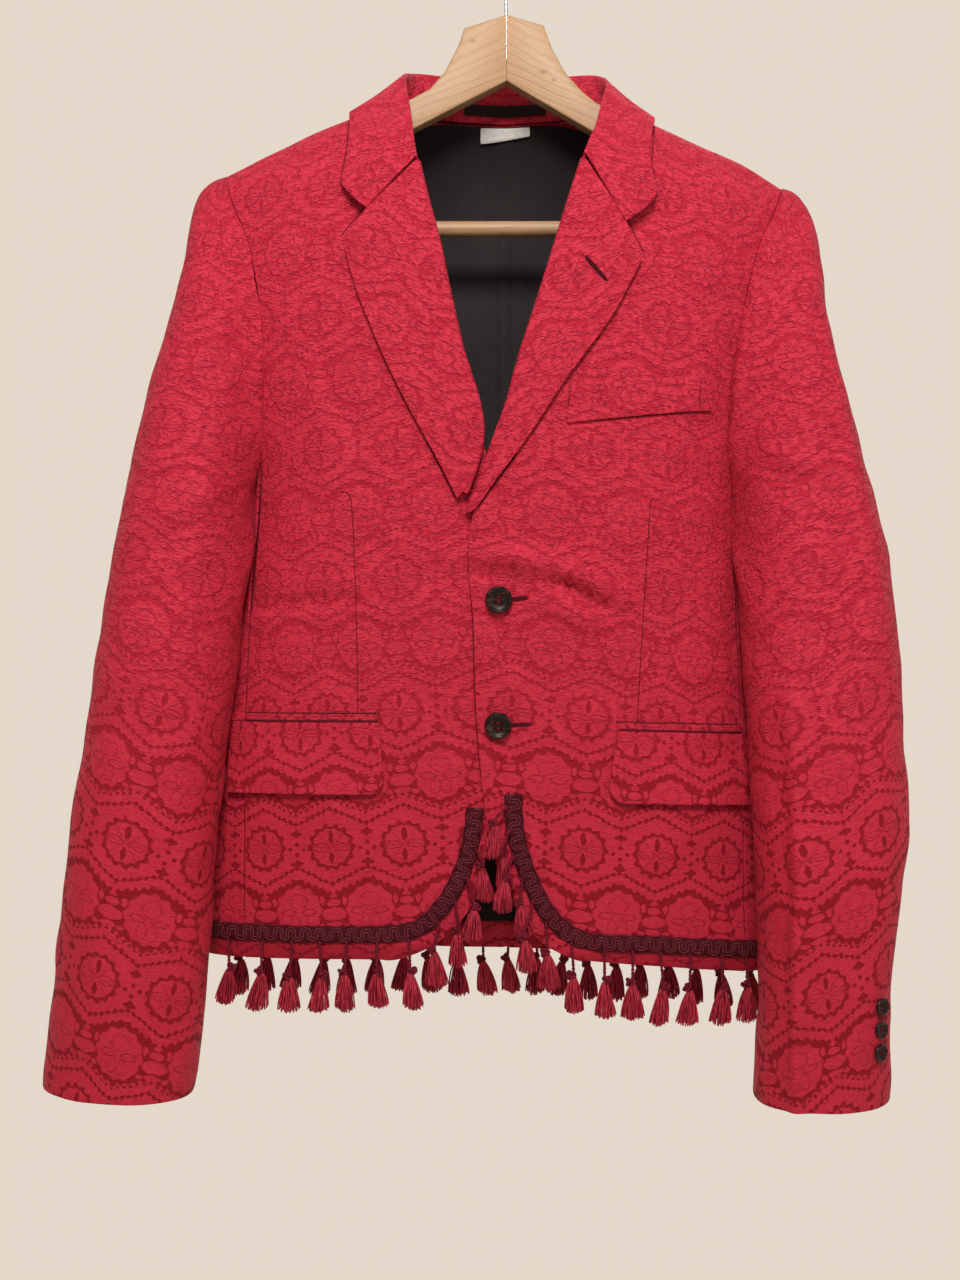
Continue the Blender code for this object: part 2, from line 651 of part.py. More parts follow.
def back(side):
    """Half of the back, from the centre seam to the armhole and the side seam."""
    name = "back_left" if side == LEFT else "back_right"
    neck = NECK_LEFT if side == LEFT else NECK_RIGHT
    outer = outer_edge(side)
    neck_part = 0.40
    top = joined((back_neck(neck), neck_part), (shoulder_seam(side), 1.0))
    across = [0.0, 0.13, 0.26, 0.35] + [
        neck_part + (1 - neck_part) * share for share in SHOULDER_SHARES
    ]
    seam_end = outer(1)
    inner = straight((0, NECK_Z), (0, BACK_HEM))
    hem = straight((0, BACK_HEM), seam_end)
    grid = patch(top, hem, inner, outer, across, PANEL_ROWS)
    body_panel(name, grid, BACK, (SEAM / 2, 0, SEAM / 2, SEAM / 2))


def side_panel(side):
    """Under the arm, round the side fold from the front's seam to the back's."""
    name = "side_left" if side == LEFT else "side_right"
    hole = armhole(side)
    seam = side_seam(side)
    columns = range(PANEL_STEPS, 2 * ARMHOLE_STEPS - PANEL_STEPS + 1)
    outer = np.empty((len(SEAM_SHARES), len(columns), 3))
    inner = np.empty_like(outer)
    for c, step in enumerate(columns):
        face = FRONT if step <= ARMHOLE_STEPS else BACK
        near = ARMHOLE_STEPS - abs(step - ARMHOLE_STEPS)
        turn = abs(step - ARMHOLE_STEPS) / (ARMHOLE_STEPS - PANEL_STEPS)
        top = hole(armhole_share(near))
        for r, share in enumerate(SEAM_SHARES):
            seam_x, seam_z = seam(share)
            z = seam_z + (top[1] - seam_z) * (1 - share) ** 3 if r else top[1]
            wide = half_width(side, z)
            x = side * (wide - (wide - abs(seam_x)) * turn**2) if r else top[0]
            outer[r, c] = on_torso(x, z, face)
            inner[r, c] = on_torso(x, z, face, -WALL)
    gaps = (SEAM / 2, 0, SEAM / 2, SEAM / 2)
    wall(name, parted(outer, gaps), parted(inner, gaps), "brocade")


def clear_of_torso(point, lift):
    """The point, moved out of the body where it is less than lift from it."""
    x, y, z = point
    top = shoulder_z(x) + lift
    if z > top:
        return point
    face = FRONT if y < 0 else BACK
    surface = abs(torso_y(x, min(z, shoulder_z(x)), face)) + lift
    if abs(y) >= surface:
        return point
    if top - z < surface - abs(y):
        return np.array([x, y, top])
    return np.array([x, face * surface, z])


def turned_section(neck, fold, edge, out, base_lift=LAPEL_LIFT, stand=True):
    """Middle line of cloth that rises from the neck seam, turns over at the fold and lies down."""
    rise = (fold - neck) / np.linalg.norm(fold - neck)
    out = out - rise * float(out @ rise)
    out = out / np.linalg.norm(out)
    start = fold - rise * ROLL_RADIUS
    line = [neck, (neck + start) / 2, start] if stand else [neck]
    for along_rise, along_out in STAND_TURN if stand else LAPEL_TURN:
        line.append(fold - rise * ROLL_RADIUS * along_rise + out * ROLL_RADIUS * along_out)
    down = line[-1]
    for share in (0.35, 0.68) if stand else (0.25, 0.5, 0.75):
        lift = base_lift + (1 - share) * ROLL_LOFT
        line.append(clear_of_torso(down + share * (edge - down), lift))
    line.append(edge)
    return line


def turned_wall(name, sections, gaps):
    """A wall of even thickness about a grid of middle lines."""
    middle = np.array(sections)
    length = np.gradient(middle, axis=0)
    width = np.gradient(middle, axis=1)
    normal = np.cross(length, width)
    normal /= np.linalg.norm(normal, axis=2, keepdims=True)
    outer = middle + normal * WALL / 2
    inner = middle - normal * WALL / 2
    wall(name, parted(outer, gaps), parted(inner, gaps), "brocade")


def lapel(side):
    name = "lapel_left" if side == LEFT else "lapel_right"
    roll = LAPEL_LEFT_ROLL if side == LEFT else EDGE_RIGHT_ROLL
    free = LAPEL_LEFT_EDGE if side == LEFT else LAPEL_RIGHT_EDGE
    notch = NOTCH_LEFT if side == LEFT else NOTCH_RIGHT
    roll_line = route(roll)
    free_line = joined((straight(notch, free[0]), 0.09), (route(free), 1.0))
    sections = []
    for share in (0.0, 0.045, 0.09, 0.16, 0.25, 0.36, 0.47, 0.58, 0.69, 0.80, 0.90, 1.0):
        at = min(share, 0.985)
        x, z = roll_line(at)
        along_roll = roll_line(min(at + 0.01, 1.0)) - roll_line(max(at - 0.01, 0.0))
        away = np.array([-along_roll[1], along_roll[0]]) * side
        away *= ROLL_REACH / np.linalg.norm(away)
        if away[0] * side > 0:
            away = -away
        neck = on_torso(x, z, FRONT, -WALL / 2) + np.array([away[0], 0, away[1]]) * 0.5
        fold = on_torso(x + away[0], z + away[1], FRONT, -WALL / 2)
        edge_x, edge_z = free_line(share)
        edge = on_torso(edge_x, edge_z, FRONT, LAPEL_LIFT)
        sections.append(turned_section(neck, fold, edge, torso_normal(x, z, FRONT), stand=False))
    turned_wall(name, sections, (SEAM / 2, 0, SEAM / 2, 0))


def neck_edge(side, share):
    """x, z and face of the neck's edge, from the gorge over the neck point to the back's middle."""
    neck = NECK_LEFT if side == LEFT else NECK_RIGHT
    if share <= 0.5:
        x, z = route(EDGE_LEFT_NECK if side == LEFT else EDGE_RIGHT_NECK)(1 - 2 * share)
        return x, min(z, shoulder_z(x)), FRONT
    x, z = back_neck(neck)(2 - 2 * share)
    return x, min(z, shoulder_z(x)), BACK


def collar_section(side, share):
    """Middle line of the collar at this share of its way from the gorge to the back's middle."""
    table = COLLAR_LEFT if side == LEFT else COLLAR_RIGHT
    neck_x, neck_z, face = neck_edge(side, share)
    fold_x, fold_y, fold_z, edge_x, edge_z = along(table, share)
    near_shoulder = math.exp(-(((share - 0.5) / 0.11) ** 2))
    lift = LAPEL_LIFT + COLLAR_LOFT * near_shoulder
    fold = np.array([fold_x, fold_y, fold_z])
    neck = on_torso(neck_x, neck_z, face, -WALL / 2)
    neck = neck + (fold - neck) / np.linalg.norm(fold - neck) * NECK_ROOM
    edge = on_torso(edge_x, min(edge_z, shoulder_z(edge_x)), face, lift)
    fold_way = along(table, min(share + 0.02, 1))[:3] - along(table, max(share - 0.02, 0))[:3]
    out = np.cross(fold_way, fold - neck)
    if out[0] * fold_x + out[1] * (fold_y - NECK_CENTRE_Y) < 0:
        out = -out
    return turned_section(neck, fold, edge, out, lift)


def collar():
    """Stand and fall in one, from gorge to gorge round the back of the neck."""
    sections = [collar_section(LEFT, share) for share in COLLAR_SHARES]
    sections += [collar_section(RIGHT, share) for share in COLLAR_SHARES[-2::-1]]
    turned_wall("collar", sections, (SEAM / 2, SEAM / 2, 0, 0))


def sleeve_ring(side, row, step):
    """Point of a sleeve ring at this step round it, from the outer line over the front."""
    outer_x, outer_z, inner_x, inner_z, fore, rear, bulge = row
    angle = math.pi * step / ARMHOLE_STEPS
    centre = np.array([(outer_x + inner_x) / 2, (fore + rear) / 2, (outer_z + inner_z) / 2])
    half = np.array([outer_x - inner_x, 0, outer_z - inner_z]) / 2
    turn = math.cos(angle)
    swing = math.sin(angle)
    turn = math.copysign(abs(turn) ** SLEEVE_POWER, turn)
    swing = math.copysign(abs(swing) ** SLEEVE_POWER, swing)
    point = centre + half * turn
    point[1] -= (rear - fore) / 2 * swing
    point[0] += bulge * math.sin(angle) ** 2
    return point


def sleeve_grid(side):
    """All rings of a sleeve, the first one round the armhole, and the wall's inner grid."""
    table = SLEEVE_LEFT if side == LEFT else SLEEVE_RIGHT
    hole = armhole(side)
    steps = 2 * ARMHOLE_STEPS
    outer = np.empty((len(table) + 1, steps, 3))
    body_normals = np.empty((steps, 3))
    for step in range(steps):
        near = ARMHOLE_STEPS - abs(step - ARMHOLE_STEPS)
        face = FRONT if step <= ARMHOLE_STEPS else BACK
        x, z = hole(armhole_share(near))
        outer[0, step] = [x, torso_y(x, z, face), z]
        body_normals[step] = torso_normal(x, z, face)
        for k, row in enumerate(table):
            outer[k + 1, step] = sleeve_ring(side, row, step)
    round_way = np.roll(outer, -1, axis=1) - np.roll(outer, 1, axis=1)
    down_way = np.gradient(outer, axis=0)
    normals = np.cross(down_way, round_way)
    normals /= np.linalg.norm(normals, axis=2, keepdims=True)
    middle = outer.mean(axis=1, keepdims=True)
    if float(((outer - middle) * normals).sum(axis=2)[5:].mean()) < 0:
        normals = -normals
    for step in range(steps):
        into = np.cross(round_way[0, step], body_normals[step])
        into /= np.linalg.norm(into)
        if float(into @ (middle[0, 0] - outer[0, step])) < 0:
            into = -into
        leaving = outer[1, step] - outer[0, step]
        leaving /= np.linalg.norm(leaving)
        normals[0, step] = normals[0, step] - max(0.0, float(normals[0, step] @ into)) * into
        normals[0, step] /= np.linalg.norm(normals[0, step])
        back_over = max(0.0, -float(leaving @ into))
        outer[0, step] += into * SEAM + body_normals[step] * (0.0005 + WALL * 0.4) * back_over
    return outer, outer - normals * WALL


def sleeve(side):
    side_name = "left" if side == LEFT else "right"
    outer, inner = sleeve_grid(side)
    steps = 2 * ARMHOLE_STEPS
    per_step = 180 / ARMHOLE_STEPS
    first = int(TOP_SLEEVE[0] / per_step)
    last = int(TOP_SLEEVE[1] / per_step)
    pieces = {"top": range(first, last + 1), "under": range(last, first + steps + 1)}
    for piece, columns in pieces.items():
        picked = [c % steps for c in columns]
        gaps = (0, 0, SEAM, SEAM)
        wall(
            f"sleeve_{piece}_{side_name}",
            parted(outer[:, picked], gaps),
            parted(inner[:, picked], gaps),
            "brocade",
        )


def laid_patch(name, grid, face, lift, thick, material, tuck=None):
    """A piece that lies on the body over this grid of x, z."""
    rows, columns = grid.shape[:2]
    outer = np.empty((rows, columns, 3))
    inner = np.empty((rows, columns, 3))
    for r in range(rows):
        for c in range(columns):
            x, z = grid[r, c]
            shift = tuck(x, z) if tuck else 0.0
            inner[r, c] = on_torso(x, z, face, lift - shift)
            outer[r, c] = on_torso(x, z, face, lift + thick - shift)
    return wall(name, outer, inner, material)


def hip_pocket(side):
    """Jet and flap of a hip pocket; the flap's lower corners are rounded."""
    name, start, end, top, slope, skew = POCKETS[side]
    shares = [0.0, 0.02, 0.06, 0.12, 0.30, 0.50, 0.68, 0.82, 0.92, 1.0]
    jet = np.empty((2, len(shares), 2))
    flap = np.empty((4, len(shares), 2))
    for c, share in enumerate(shares):
        x = start + share * (end - start)
        z = top + slope * share
        jet[0, c] = (x, z)
        jet[1, c] = (x, z - JET_HEIGHT)
        inset = share * abs(end - start)
        corner = max(0.0, FLAP_CORNER - inset) / FLAP_CORNER
        rise = FLAP_CORNER * (1 - math.sqrt(1 - corner * corner))
        for r, fall in enumerate((0.0, 0.35, 0.75, 1.0)):
            drop = FLAP_DEPTH * fall - rise * fall
            flap[r, c] = (x + skew * fall * (1 - share), z - JET_HEIGHT - SEAM * 2 - drop)
    laid_patch(f"jet_{name}", jet, FRONT, FLAP_LIFT, JET_WALL, "brocade")
    laid_patch(f"flap_{name}", flap, FRONT, FLAP_LIFT, WALL, "brocade")


def chest_welt():
    corners = [straight(WELT[0], WELT[1]), straight(WELT[3], WELT[2])]
    sides = [straight(WELT[0], WELT[3]), straight(WELT[1], WELT[2])]
    grid = patch(corners[0], corners[1], sides[0], sides[1], np.linspace(0, 1, 6), [0, 0.5, 1])
    laid_patch("chest_welt", grid, FRONT, FLAP_LIFT, WALL, "brocade")


def lining():
    """The black lining of the back, down to the turned-up hem."""
    columns = [-0.165, -0.13, -0.09, -0.06, -0.03, 0.0, 0.03, 0.06, 0.09, 0.13, 0.155]
    rows = [0.0, 0.03, 0.08, 0.15, 0.25, 0.36, 0.48, 0.60, 0.73, 0.86, 1.0]
    grid = np.empty((len(rows), len(columns), 2))
    for c, x in enumerate(columns):
        top = min(NECK_Z - 0.0012, shoulder_z(x) - 0.020)
        for r, share in enumerate(rows):
            grid[r, c] = (x, top + share * (LINING_FOOT - top))
    lift = -WALL - LINING_GAP - LINING_WALL
    laid_patch("lining_back", grid, BACK, lift, LINING_WALL, "lining")


def stand_face(x, z):
    """Depth of the inner face of the collar stand at the back of the neck."""
    neck_y = torso_y(x, NECK_Z, BACK) - WALL / 2
    fold_y = 0.0460 - 0.0050 * (x / 0.043) ** 2
    share = (z - NECK_Z) / (-0.1065 - NECK_Z)
    return neck_y + share * (fold_y - ROLL_RADIUS * share - neck_y) - WALL / 2


def neck_trims():
    """The bare black band on the stand and the bare white label below the neck seam."""
    front_face = np.empty((3, 7, 3))
    for r, z in enumerate((-0.1322, -0.1370, -0.1417)):
        for c, x in enumerate(np.linspace(-0.0321, 0.0309, 7)):
            front_face[r, c] = (x, stand_face(x, z) - TRIM_GAP, z)
    wall("neck_band", front_face, front_face - np.array([0, TRIM_WALL, 0]), "lining")
    grid = np.empty((2, 4, 2))
    for c, share in enumerate(np.linspace(0, 1, 4)):
        x = -0.0200 + 0.0395 * share
        grid[0, c] = (x, -0.1512 + 0.0006 * share)
        grid[1, c] = (x, -0.1622 + 0.0054 * share)
    lift = -WALL - LINING_GAP - LINING_WALL - LABEL_GAP - TRIM_WALL
    laid_patch("size_label", grid, BACK, lift, TRIM_WALL, "label")


def button(name, place, normal, radius, thick, sides):
    """A rimmed button on a short shank of thread, its back to the cloth."""
    profile = [
        (radius * 0.34, SEAM), (radius * 0.34, SHANK), (radius * 0.9, SHANK),
        (radius, SHANK + thick * 0.5), (radius * 0.93, SHANK + thick),
        (radius * 0.74, SHANK + thick * 0.8),
    ]
    place = np.array(place)
    normal = np.array(normal)
    turned_bar(name, place, place + normal, [(high, reach) for reach, high in profile], sides, "horn")


def front_buttons():
    for name, (x, z) in {"button_top": (-0.0065, -0.5230), "button_bottom": (-0.0070, -0.6140)}.items():
        place = on_torso(x, z, FRONT)
        button(name, place, torso_normal(x, z, FRONT), BUTTON_RADIUS, BUTTON_THICK, 16)


def sleeve_spot(side, height, degrees):
    """Point and outward normal on a sleeve at this height, turned this far from its outer line."""
    table = SLEEVE_LEFT if side == LEFT else SLEEVE_RIGHT
    rows = sorted((row[1],) + row for row in table[3:])
    row = along(rows, height)
    step = degrees * ARMHOLE_STEPS / 180
    place = sleeve_ring(side, row, step)
    before = sleeve_ring(side, row, step - 0.4)
    after = sleeve_ring(side, row, step + 0.4)
    normal = np.cross(after - before, (0.0, 0.0, 1.0))
    normal /= np.linalg.norm(normal)
    if float(normal @ (place - sleeve_ring(side, row, step + ARMHOLE_STEPS))) < 0:
        normal = -normal
    return place, normal


def cuff_buttons():
    for side, side_name, degrees in ((LEFT, "left", -38), (RIGHT, "right", 54)):
        for k in range(3):
            place, normal = sleeve_spot(side, CUFF_BUTTON_TOP - k * CUFF_BUTTON_STEP, degrees)
            place = place + normal * CUFF_BUTTON_ROOM
            name = f"cuff_button_{side_name}_{k + 1}"
            button(name, place, normal, CUFF_BUTTON_RADIUS, CUFF_BUTTON_THICK, 9)


def half_hanger(side):
    """One half of the wooden hanger, an outline of even thickness with softened edges."""
    name = "hanger_left" if side == LEFT else "hanger_right"
    outline = WOOD_LEFT if side == LEFT else WOOD_RIGHT
    mesh = bmesh.new()
    front_ring = [mesh.verts.new((x, -WOOD_THICK / 2, z)) for x, z in outline]
    face = mesh.faces.new(front_ring)
    made = bmesh.ops.extrude_face_region(mesh, geom=[face])
    moved = [item for item in made["geom"] if isinstance(item, bmesh.types.BMVert)]
    bmesh.ops.translate(mesh, verts=moved, vec=(0, WOOD_THICK, 0))
    bmesh.ops.recalc_face_normals(mesh, faces=mesh.faces)
    edges = [
        edge for edge in mesh.edges
        if abs(edge.verts[0].co.y - edge.verts[1].co.y) < 1e-6
        and max(abs(v.co.x) for v in edge.verts) > 0.001
    ]
    bmesh.ops.bevel(mesh, geom=edges, offset=0.0022, segments=2, profile=0.6, affect="EDGES")
    wood = make_object(name, mesh, "wood")
    bore = drill(f"{name}_stem_hole", (0, 0, STEM_FOOT - SEAM), (0, 0, -0.06), WIRE_RADIUS + SEAM)
    socket = drill(
        f"{name}_bar_hole", (side * 0.170, 0, BAR_Z), (side * (BAR_END + TENON + SEAM), 0, BAR_Z),
        TENON_RADIUS + SEAM,
    )
    for cutter in (bore, socket):
        cut = wood.modifiers.new(cutter.name, "BOOLEAN")
        cut.operation = "DIFFERENCE"
        cut.object = cutter
    return wood


def turned_bar(name, start, end, profile, sides, material):
    """A closed turned piece from start towards end: rows of distance along it and radius."""
    start = np.array(start, float)
    axis = np.array(end, float) - start
    axis /= np.linalg.norm(axis)
    side = np.cross(axis, (0.0, 0.0, 1.0) if abs(axis[2]) < 0.8 else (1.0, 0.0, 0.0))
    side /= np.linalg.norm(side)
    up = np.cross(side, axis)
    mesh = bmesh.new()
    rings = []
    for reach, radius in profile:
        ring = []
        for k in range(sides):
            angle = 2 * math.pi * k / sides
            point = start + axis * reach + radius * (math.cos(angle) * side + math.sin(angle) * up)
            ring.append(mesh.verts.new(point))
        rings.append(ring)
    mesh.faces.new(rings[0])
    mesh.faces.new(rings[-1])
    for low, high in zip(rings, rings[1:]):
        for k in range(sides):
            mesh.faces.new((low[k], low[(k + 1) % sides], high[(k + 1) % sides], high[k]))
    return make_object(name, mesh, material)


def drill(name, start, end, radius):
    length = float(np.linalg.norm(np.array(end) - np.array(start)))
    cutter = turned_bar(name, start, end, [(0.0, radius), (length, radius)], 16, "wood")
    cutter.hide_render = True
    cutter.display_type = "WIRE"
    return cutter


def hanger():
    half_hanger(LEFT)
    half_hanger(RIGHT)
    length = 2 * BAR_END
    profile = [
        (-TENON, TENON_RADIUS), (0.0, TENON_RADIUS), (0.0002, BAR_RADIUS),
        (length - 0.0002, BAR_RADIUS), (length, TENON_RADIUS), (length + TENON, TENON_RADIUS),
    ]
    turned_bar("hanger_bar", (-BAR_END, 0, BAR_Z), (BAR_END, 0, BAR_Z), profile, 16, "wood")
    wire = bpy.data.curves.new("hanger_hook", "CURVE")
    wire.dimensions = "3D"
    wire.bevel_depth = WIRE_RADIUS
    wire.bevel_resolution = 2
    wire.use_fill_caps = True
    bend = HOOK_RADIUS + WIRE_RADIUS
    middle = -HOOK_RADIUS
    points = [(0.0, STEM_FOOT), (0.0, -0.080), (0.0, -0.062), (0.0012, -0.055)]
    for degrees in range(-60, 201, 20):
        angle = math.radians(degrees)
        points.append((bend * math.cos(angle), middle + bend * math.sin(angle)))
    spline = wire.splines.new("POLY")
    spline.points.add(len(points) - 1)
    for point, (x, z) in zip(spline.points, points):
        point.co = (x, 0, z, 1)
    wire.materials.append(finish("steel"))
    made = bpy.data.objects.new("hanger_hook", wire)
    bpy.context.scene.collection.objects.link(made)


def fringe(name, line, face, turn, tassels, tuck=None):
    """A braid along a line on the body with its tassels fused below it, in one closed mesh.

    turn is +1 where the braid's free edge lies to the left of the line's way. Each tassel is a
    row: root x, root z, sway, cord length, lift of the knot, size of the skirt."""
    shares = np.linspace(0, 1, 600)
    trail = np.array([line(share) for share in shares])
    roots = []
    for tassel in tassels:
        apart = np.linalg.norm(trail - np.array(tassel[:2]), axis=1)
        roots.append((shares[int(apart.argmin())], tassel))
    roots.sort(key=lambda root: root[0])
    length = np.linalg.norm(np.diff(trail, axis=0), axis=1).sum()
    half_cell = CORD_WIDTH / 2 / length
    columns = [(0.0, None)]
    for k, (share, tassel) in enumerate(roots):
        columns.append((share - half_cell, tassel))
        columns.append((share + half_cell, None))
        if k + 1 < len(roots):
            columns.append(((share + roots[k + 1][0]) / 2, None))
    columns.append((1.0, None))
    reach = half_width(trail[-1][0], trail[-1][1]) * np.sign(trail[-1][0])
    stops = [(reach, stop) for stop in FOLD_STOPS]
    if trail[0][0] * reach < 0 and abs(trail[0][0]) > 0.1:
        stops += [(-half_width(trail[0][0], trail[0][1]) * np.sign(reach), stop) for stop in FOLD_STOPS]
    for wide, stop in stops:
        share = shares[int(abs(trail[:, 0] - wide * stop).argmin())]
        if all(abs(share - other) * length > 2.2 * CORD_WIDTH / 2 for other, _ in columns):
            columns.append((share, None))
    columns.sort(key=lambda column: column[0])
    mesh = bmesh.new()
    corners = []
    for share, _ in columns:
        here = line(share)
        way = line(min(share + 0.004, 1)) - line(max(share - 0.004, 0))
        across = np.array([-way[1], way[0]]) * turn
        across *= BRAID_WIDTH / 2 / np.linalg.norm(across)
        column = []
        for sign in (-1, 1):
            x, z = here + sign * across
            limit = half_width(x, z) - 0.0002
            x = min(max(x, -limit), limit)
            shift = tuck(x, z) if tuck else 0.0
            for lift in (BRAID_LIFT + BRAID_WALL, BRAID_LIFT):
                column.append(mesh.verts.new(on_torso(x, z, face, lift - shift)))
        corners.append(column)
    for (share, tassel), here, there in zip(columns, corners, corners[1:]):
        top_out, top_in, low_out, low_in = here
        next_top_out, next_top_in, next_low_out, next_low_in = there
        mesh.faces.new((top_out, next_top_out, next_low_out, low_out))
        mesh.faces.new((top_in, low_in, next_low_in, next_top_in))
        mesh.faces.new((top_out, top_in, next_top_in, next_top_out))
        root = [low_out, next_low_out, next_low_in, low_in]
        if tassel is None:
            mesh.faces.new(root)
        else:
            hang_tassel(mesh, root, face, tassel)
    for column in (corners[0], corners[-1]):
        top_out, top_in, low_out, low_in = column
        mesh.faces.new((top_out, low_out, low_in, top_in))
    make_object(name, mesh, "trim")


def hang_tassel(mesh, root, face, tassel):
    """Cord, knot and four locks, grown from a four-cornered root at the braid's edge."""
    _, _, sway, cord, lift, size = tassel
    start = sum((np.array(vert.co) for vert in root), np.zeros(3)) / 4
    if root[0].co.x > root[1].co.x:
        root = [root[1], root[0], root[3], root[2]]
    out = face * lift
    knot = KNOT_WIDTH / 2 * (0.6 + 0.4 * size)
    skirt = SKIRT_WIDTH / 2 * size
    rows = [
        # sway and fall from the root, depth, half width, half depth
        (0.42 * sway, 0.004, out * 0.55, CORD_WIDTH / 2, 0.0009),
        (0.9 * sway, cord, out, CORD_WIDTH / 2, 0.0009),
        (sway, cord + 0.0035, out, knot, knot * 0.9),
        (sway, cord + 0.0075, out, knot * 0.75, knot * 0.7),
    ]
    ring = root
    for shift, fall, depth, half_x, half_y in rows:
        centre = start + np.array([shift, depth, -fall])
        following = []
        for side_x, side_y in ((-1, 1), (1, 1), (1, -1), (-1, -1)):
            place = centre + np.array([side_x * half_x, side_y * half_y * face, 0])
            following.append(mesh.verts.new(place))
        for k in range(4):
            after = (k + 1) % 4
            mesh.faces.new((ring[k], ring[after], following[after], following[k]))
        ring = following
    base = start + np.array([sway, out, -cord - 0.0075])
    half_x, half_y = knot * 0.75, knot * 0.7 * face
    middles = [
        mesh.verts.new(base + np.array([0, half_y, 0])), mesh.verts.new(base + np.array([half_x, 0, 0])),
        mesh.verts.new(base + np.array([0, -half_y, 0])), mesh.verts.new(base + np.array([-half_x, 0, 0])),
    ]
    # Each side of the knot's foot takes its own middle point
    for k in range(4):
        after = (k + 1) % 4
        for side in list(ring[k].link_faces):
            if ring[after] in side.verts:
                order = list(side.verts)
                spot = order.index(ring[k])
                if order[(spot + 1) % 4] is ring[after]:
                    order.insert(spot + 1, middles[k])
                else:
                    order.insert(spot, middles[k])
                mesh.faces.remove(side)
                mesh.faces.new(order)
                break
    centre = mesh.verts.new(base)
    for k, (side_x, side_y) in enumerate(((-1, 1), (1, 1), (1, -1), (-1, -1))):
        foot = [ring[k], middles[k], centre, middles[k - 1]]
        spread = np.array([side_x * skirt * 0.52, side_y * skirt * 0.36 * face, -SKIRT_LENGTH * size])
        spread[2] += 0.0012 * math.sin(3.0 * k + 90 * start[0])
        tip = []
        for vert in foot:
            toward = np.array(vert.co) - base
            reach = np.array([
                math.copysign(skirt * 0.44, toward[0] * 2 - side_x * half_x),
                math.copysign(skirt * 0.30, toward[1] * 2 - side_y * half_y), 0,
            ])
            tip.append(mesh.verts.new(base + spread + reach))
        for j in range(4):
            after = (j + 1) % 4
            mesh.faces.new((foot[j], foot[after], tip[after], tip[j]))
        mesh.faces.new(tip)


def straight_tassels(places, height):
    """Tassels of the straight hem at these x, each a little different."""
    rows = []
    for k, x in enumerate(places):
        uneven = math.sin(2.3 * k + 1)
        rows.append((x, height, 0.0012 * uneven, 0.0195 + 0.0018 * math.sin(5 * k), 0.0033, 1.0))
    return rows


def hem_trim():
    """Braid and tassels along both fronts and the back."""
    left = CENTRE_TASSELS_LEFT + straight_tassels(HEM_TASSELS_LEFT, -0.7737)
    right = CENTRE_TASSELS_RIGHT + straight_tassels(HEM_TASSELS_RIGHT, -0.7760)
    fringe("fringe_left", route(BRAID_LEFT), FRONT, 1, left, lap)
    fringe("fringe_right", route(BRAID_RIGHT), FRONT, -1, right)
    behind = straight_tassels(np.linspace(-0.205, 0.190, 20), -0.7745)
    fringe("fringe_back", route(BRAID_BACK), BACK, -1, behind)


bpy.context.scene.unit_settings.system = "METRIC"
for leftover in list(bpy.data.objects):
    bpy.data.objects.remove(leftover)

for half in (LEFT, RIGHT):
    front(half)
    back(half)
    side_panel(half)
    sleeve(half)
    lapel(half)
    hip_pocket(half)
collar()
chest_welt()
lining()
neck_trims()
front_buttons()
cuff_buttons()
hem_trim()
hanger()
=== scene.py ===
"""The looks of a short brocade blazer with a tasselled hem, buttoned on a wooden hanger."""

import json
import math

import bmesh
import bpy
import numpy as np
from mathutils import Matrix, Vector
from mathutils.bvhtree import BVHTree

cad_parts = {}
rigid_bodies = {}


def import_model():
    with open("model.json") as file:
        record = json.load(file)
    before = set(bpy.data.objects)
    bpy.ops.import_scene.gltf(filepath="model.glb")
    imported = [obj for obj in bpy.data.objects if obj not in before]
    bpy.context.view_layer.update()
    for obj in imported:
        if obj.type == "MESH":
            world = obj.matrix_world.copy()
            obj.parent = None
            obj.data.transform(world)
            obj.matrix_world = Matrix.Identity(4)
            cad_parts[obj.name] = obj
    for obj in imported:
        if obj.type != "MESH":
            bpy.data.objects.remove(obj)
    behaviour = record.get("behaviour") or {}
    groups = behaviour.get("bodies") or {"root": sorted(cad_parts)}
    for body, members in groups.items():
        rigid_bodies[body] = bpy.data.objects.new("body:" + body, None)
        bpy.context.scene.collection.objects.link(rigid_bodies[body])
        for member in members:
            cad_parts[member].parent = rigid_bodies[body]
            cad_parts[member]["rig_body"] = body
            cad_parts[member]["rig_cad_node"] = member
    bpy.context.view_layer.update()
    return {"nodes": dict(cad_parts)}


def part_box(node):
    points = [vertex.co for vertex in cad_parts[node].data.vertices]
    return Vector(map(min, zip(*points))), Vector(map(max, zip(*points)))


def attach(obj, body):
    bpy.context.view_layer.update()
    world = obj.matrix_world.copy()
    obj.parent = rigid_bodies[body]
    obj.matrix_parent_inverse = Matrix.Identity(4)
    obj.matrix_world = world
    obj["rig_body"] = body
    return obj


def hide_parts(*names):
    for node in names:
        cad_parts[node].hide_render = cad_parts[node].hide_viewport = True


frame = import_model()


# View, light and floor
# The jacket hangs in front of the lens at chest height, in soft light from the front and above,
# over a plain pale floor.
EYE = (-0.020, -0.995, -0.552)
LENS = 36.9
SENSOR = 36
FLOOR_Z = -1.85
FLOOR_WIDE = 3.2
PALE = (0.83, 0.74, 0.64)
ROOM_BEFORE = 0.36      # brightness of the room on the lens's side and behind the jacket
ROOM_BEHIND = 0.93
ROOM_FADE = (-0.35, 0.55)
# Soft lamps: place, what it faces, width, watts, colour
LAMPS = [
    ((-0.06, -1.44, 0.62), (0.0, 0.0, -0.50), 0.5, 30, (1.0, 0.955, 0.90)),
    ((1.20, -1.60, -0.20), (0.0, 0.0, -0.50), 1.2, 5, (1.0, 0.95, 0.90)),
    ((0.30, 1.60, 0.60), (0.0, 0.0, -0.40), 1.4, 14, (1.0, 0.97, 0.94)),
]


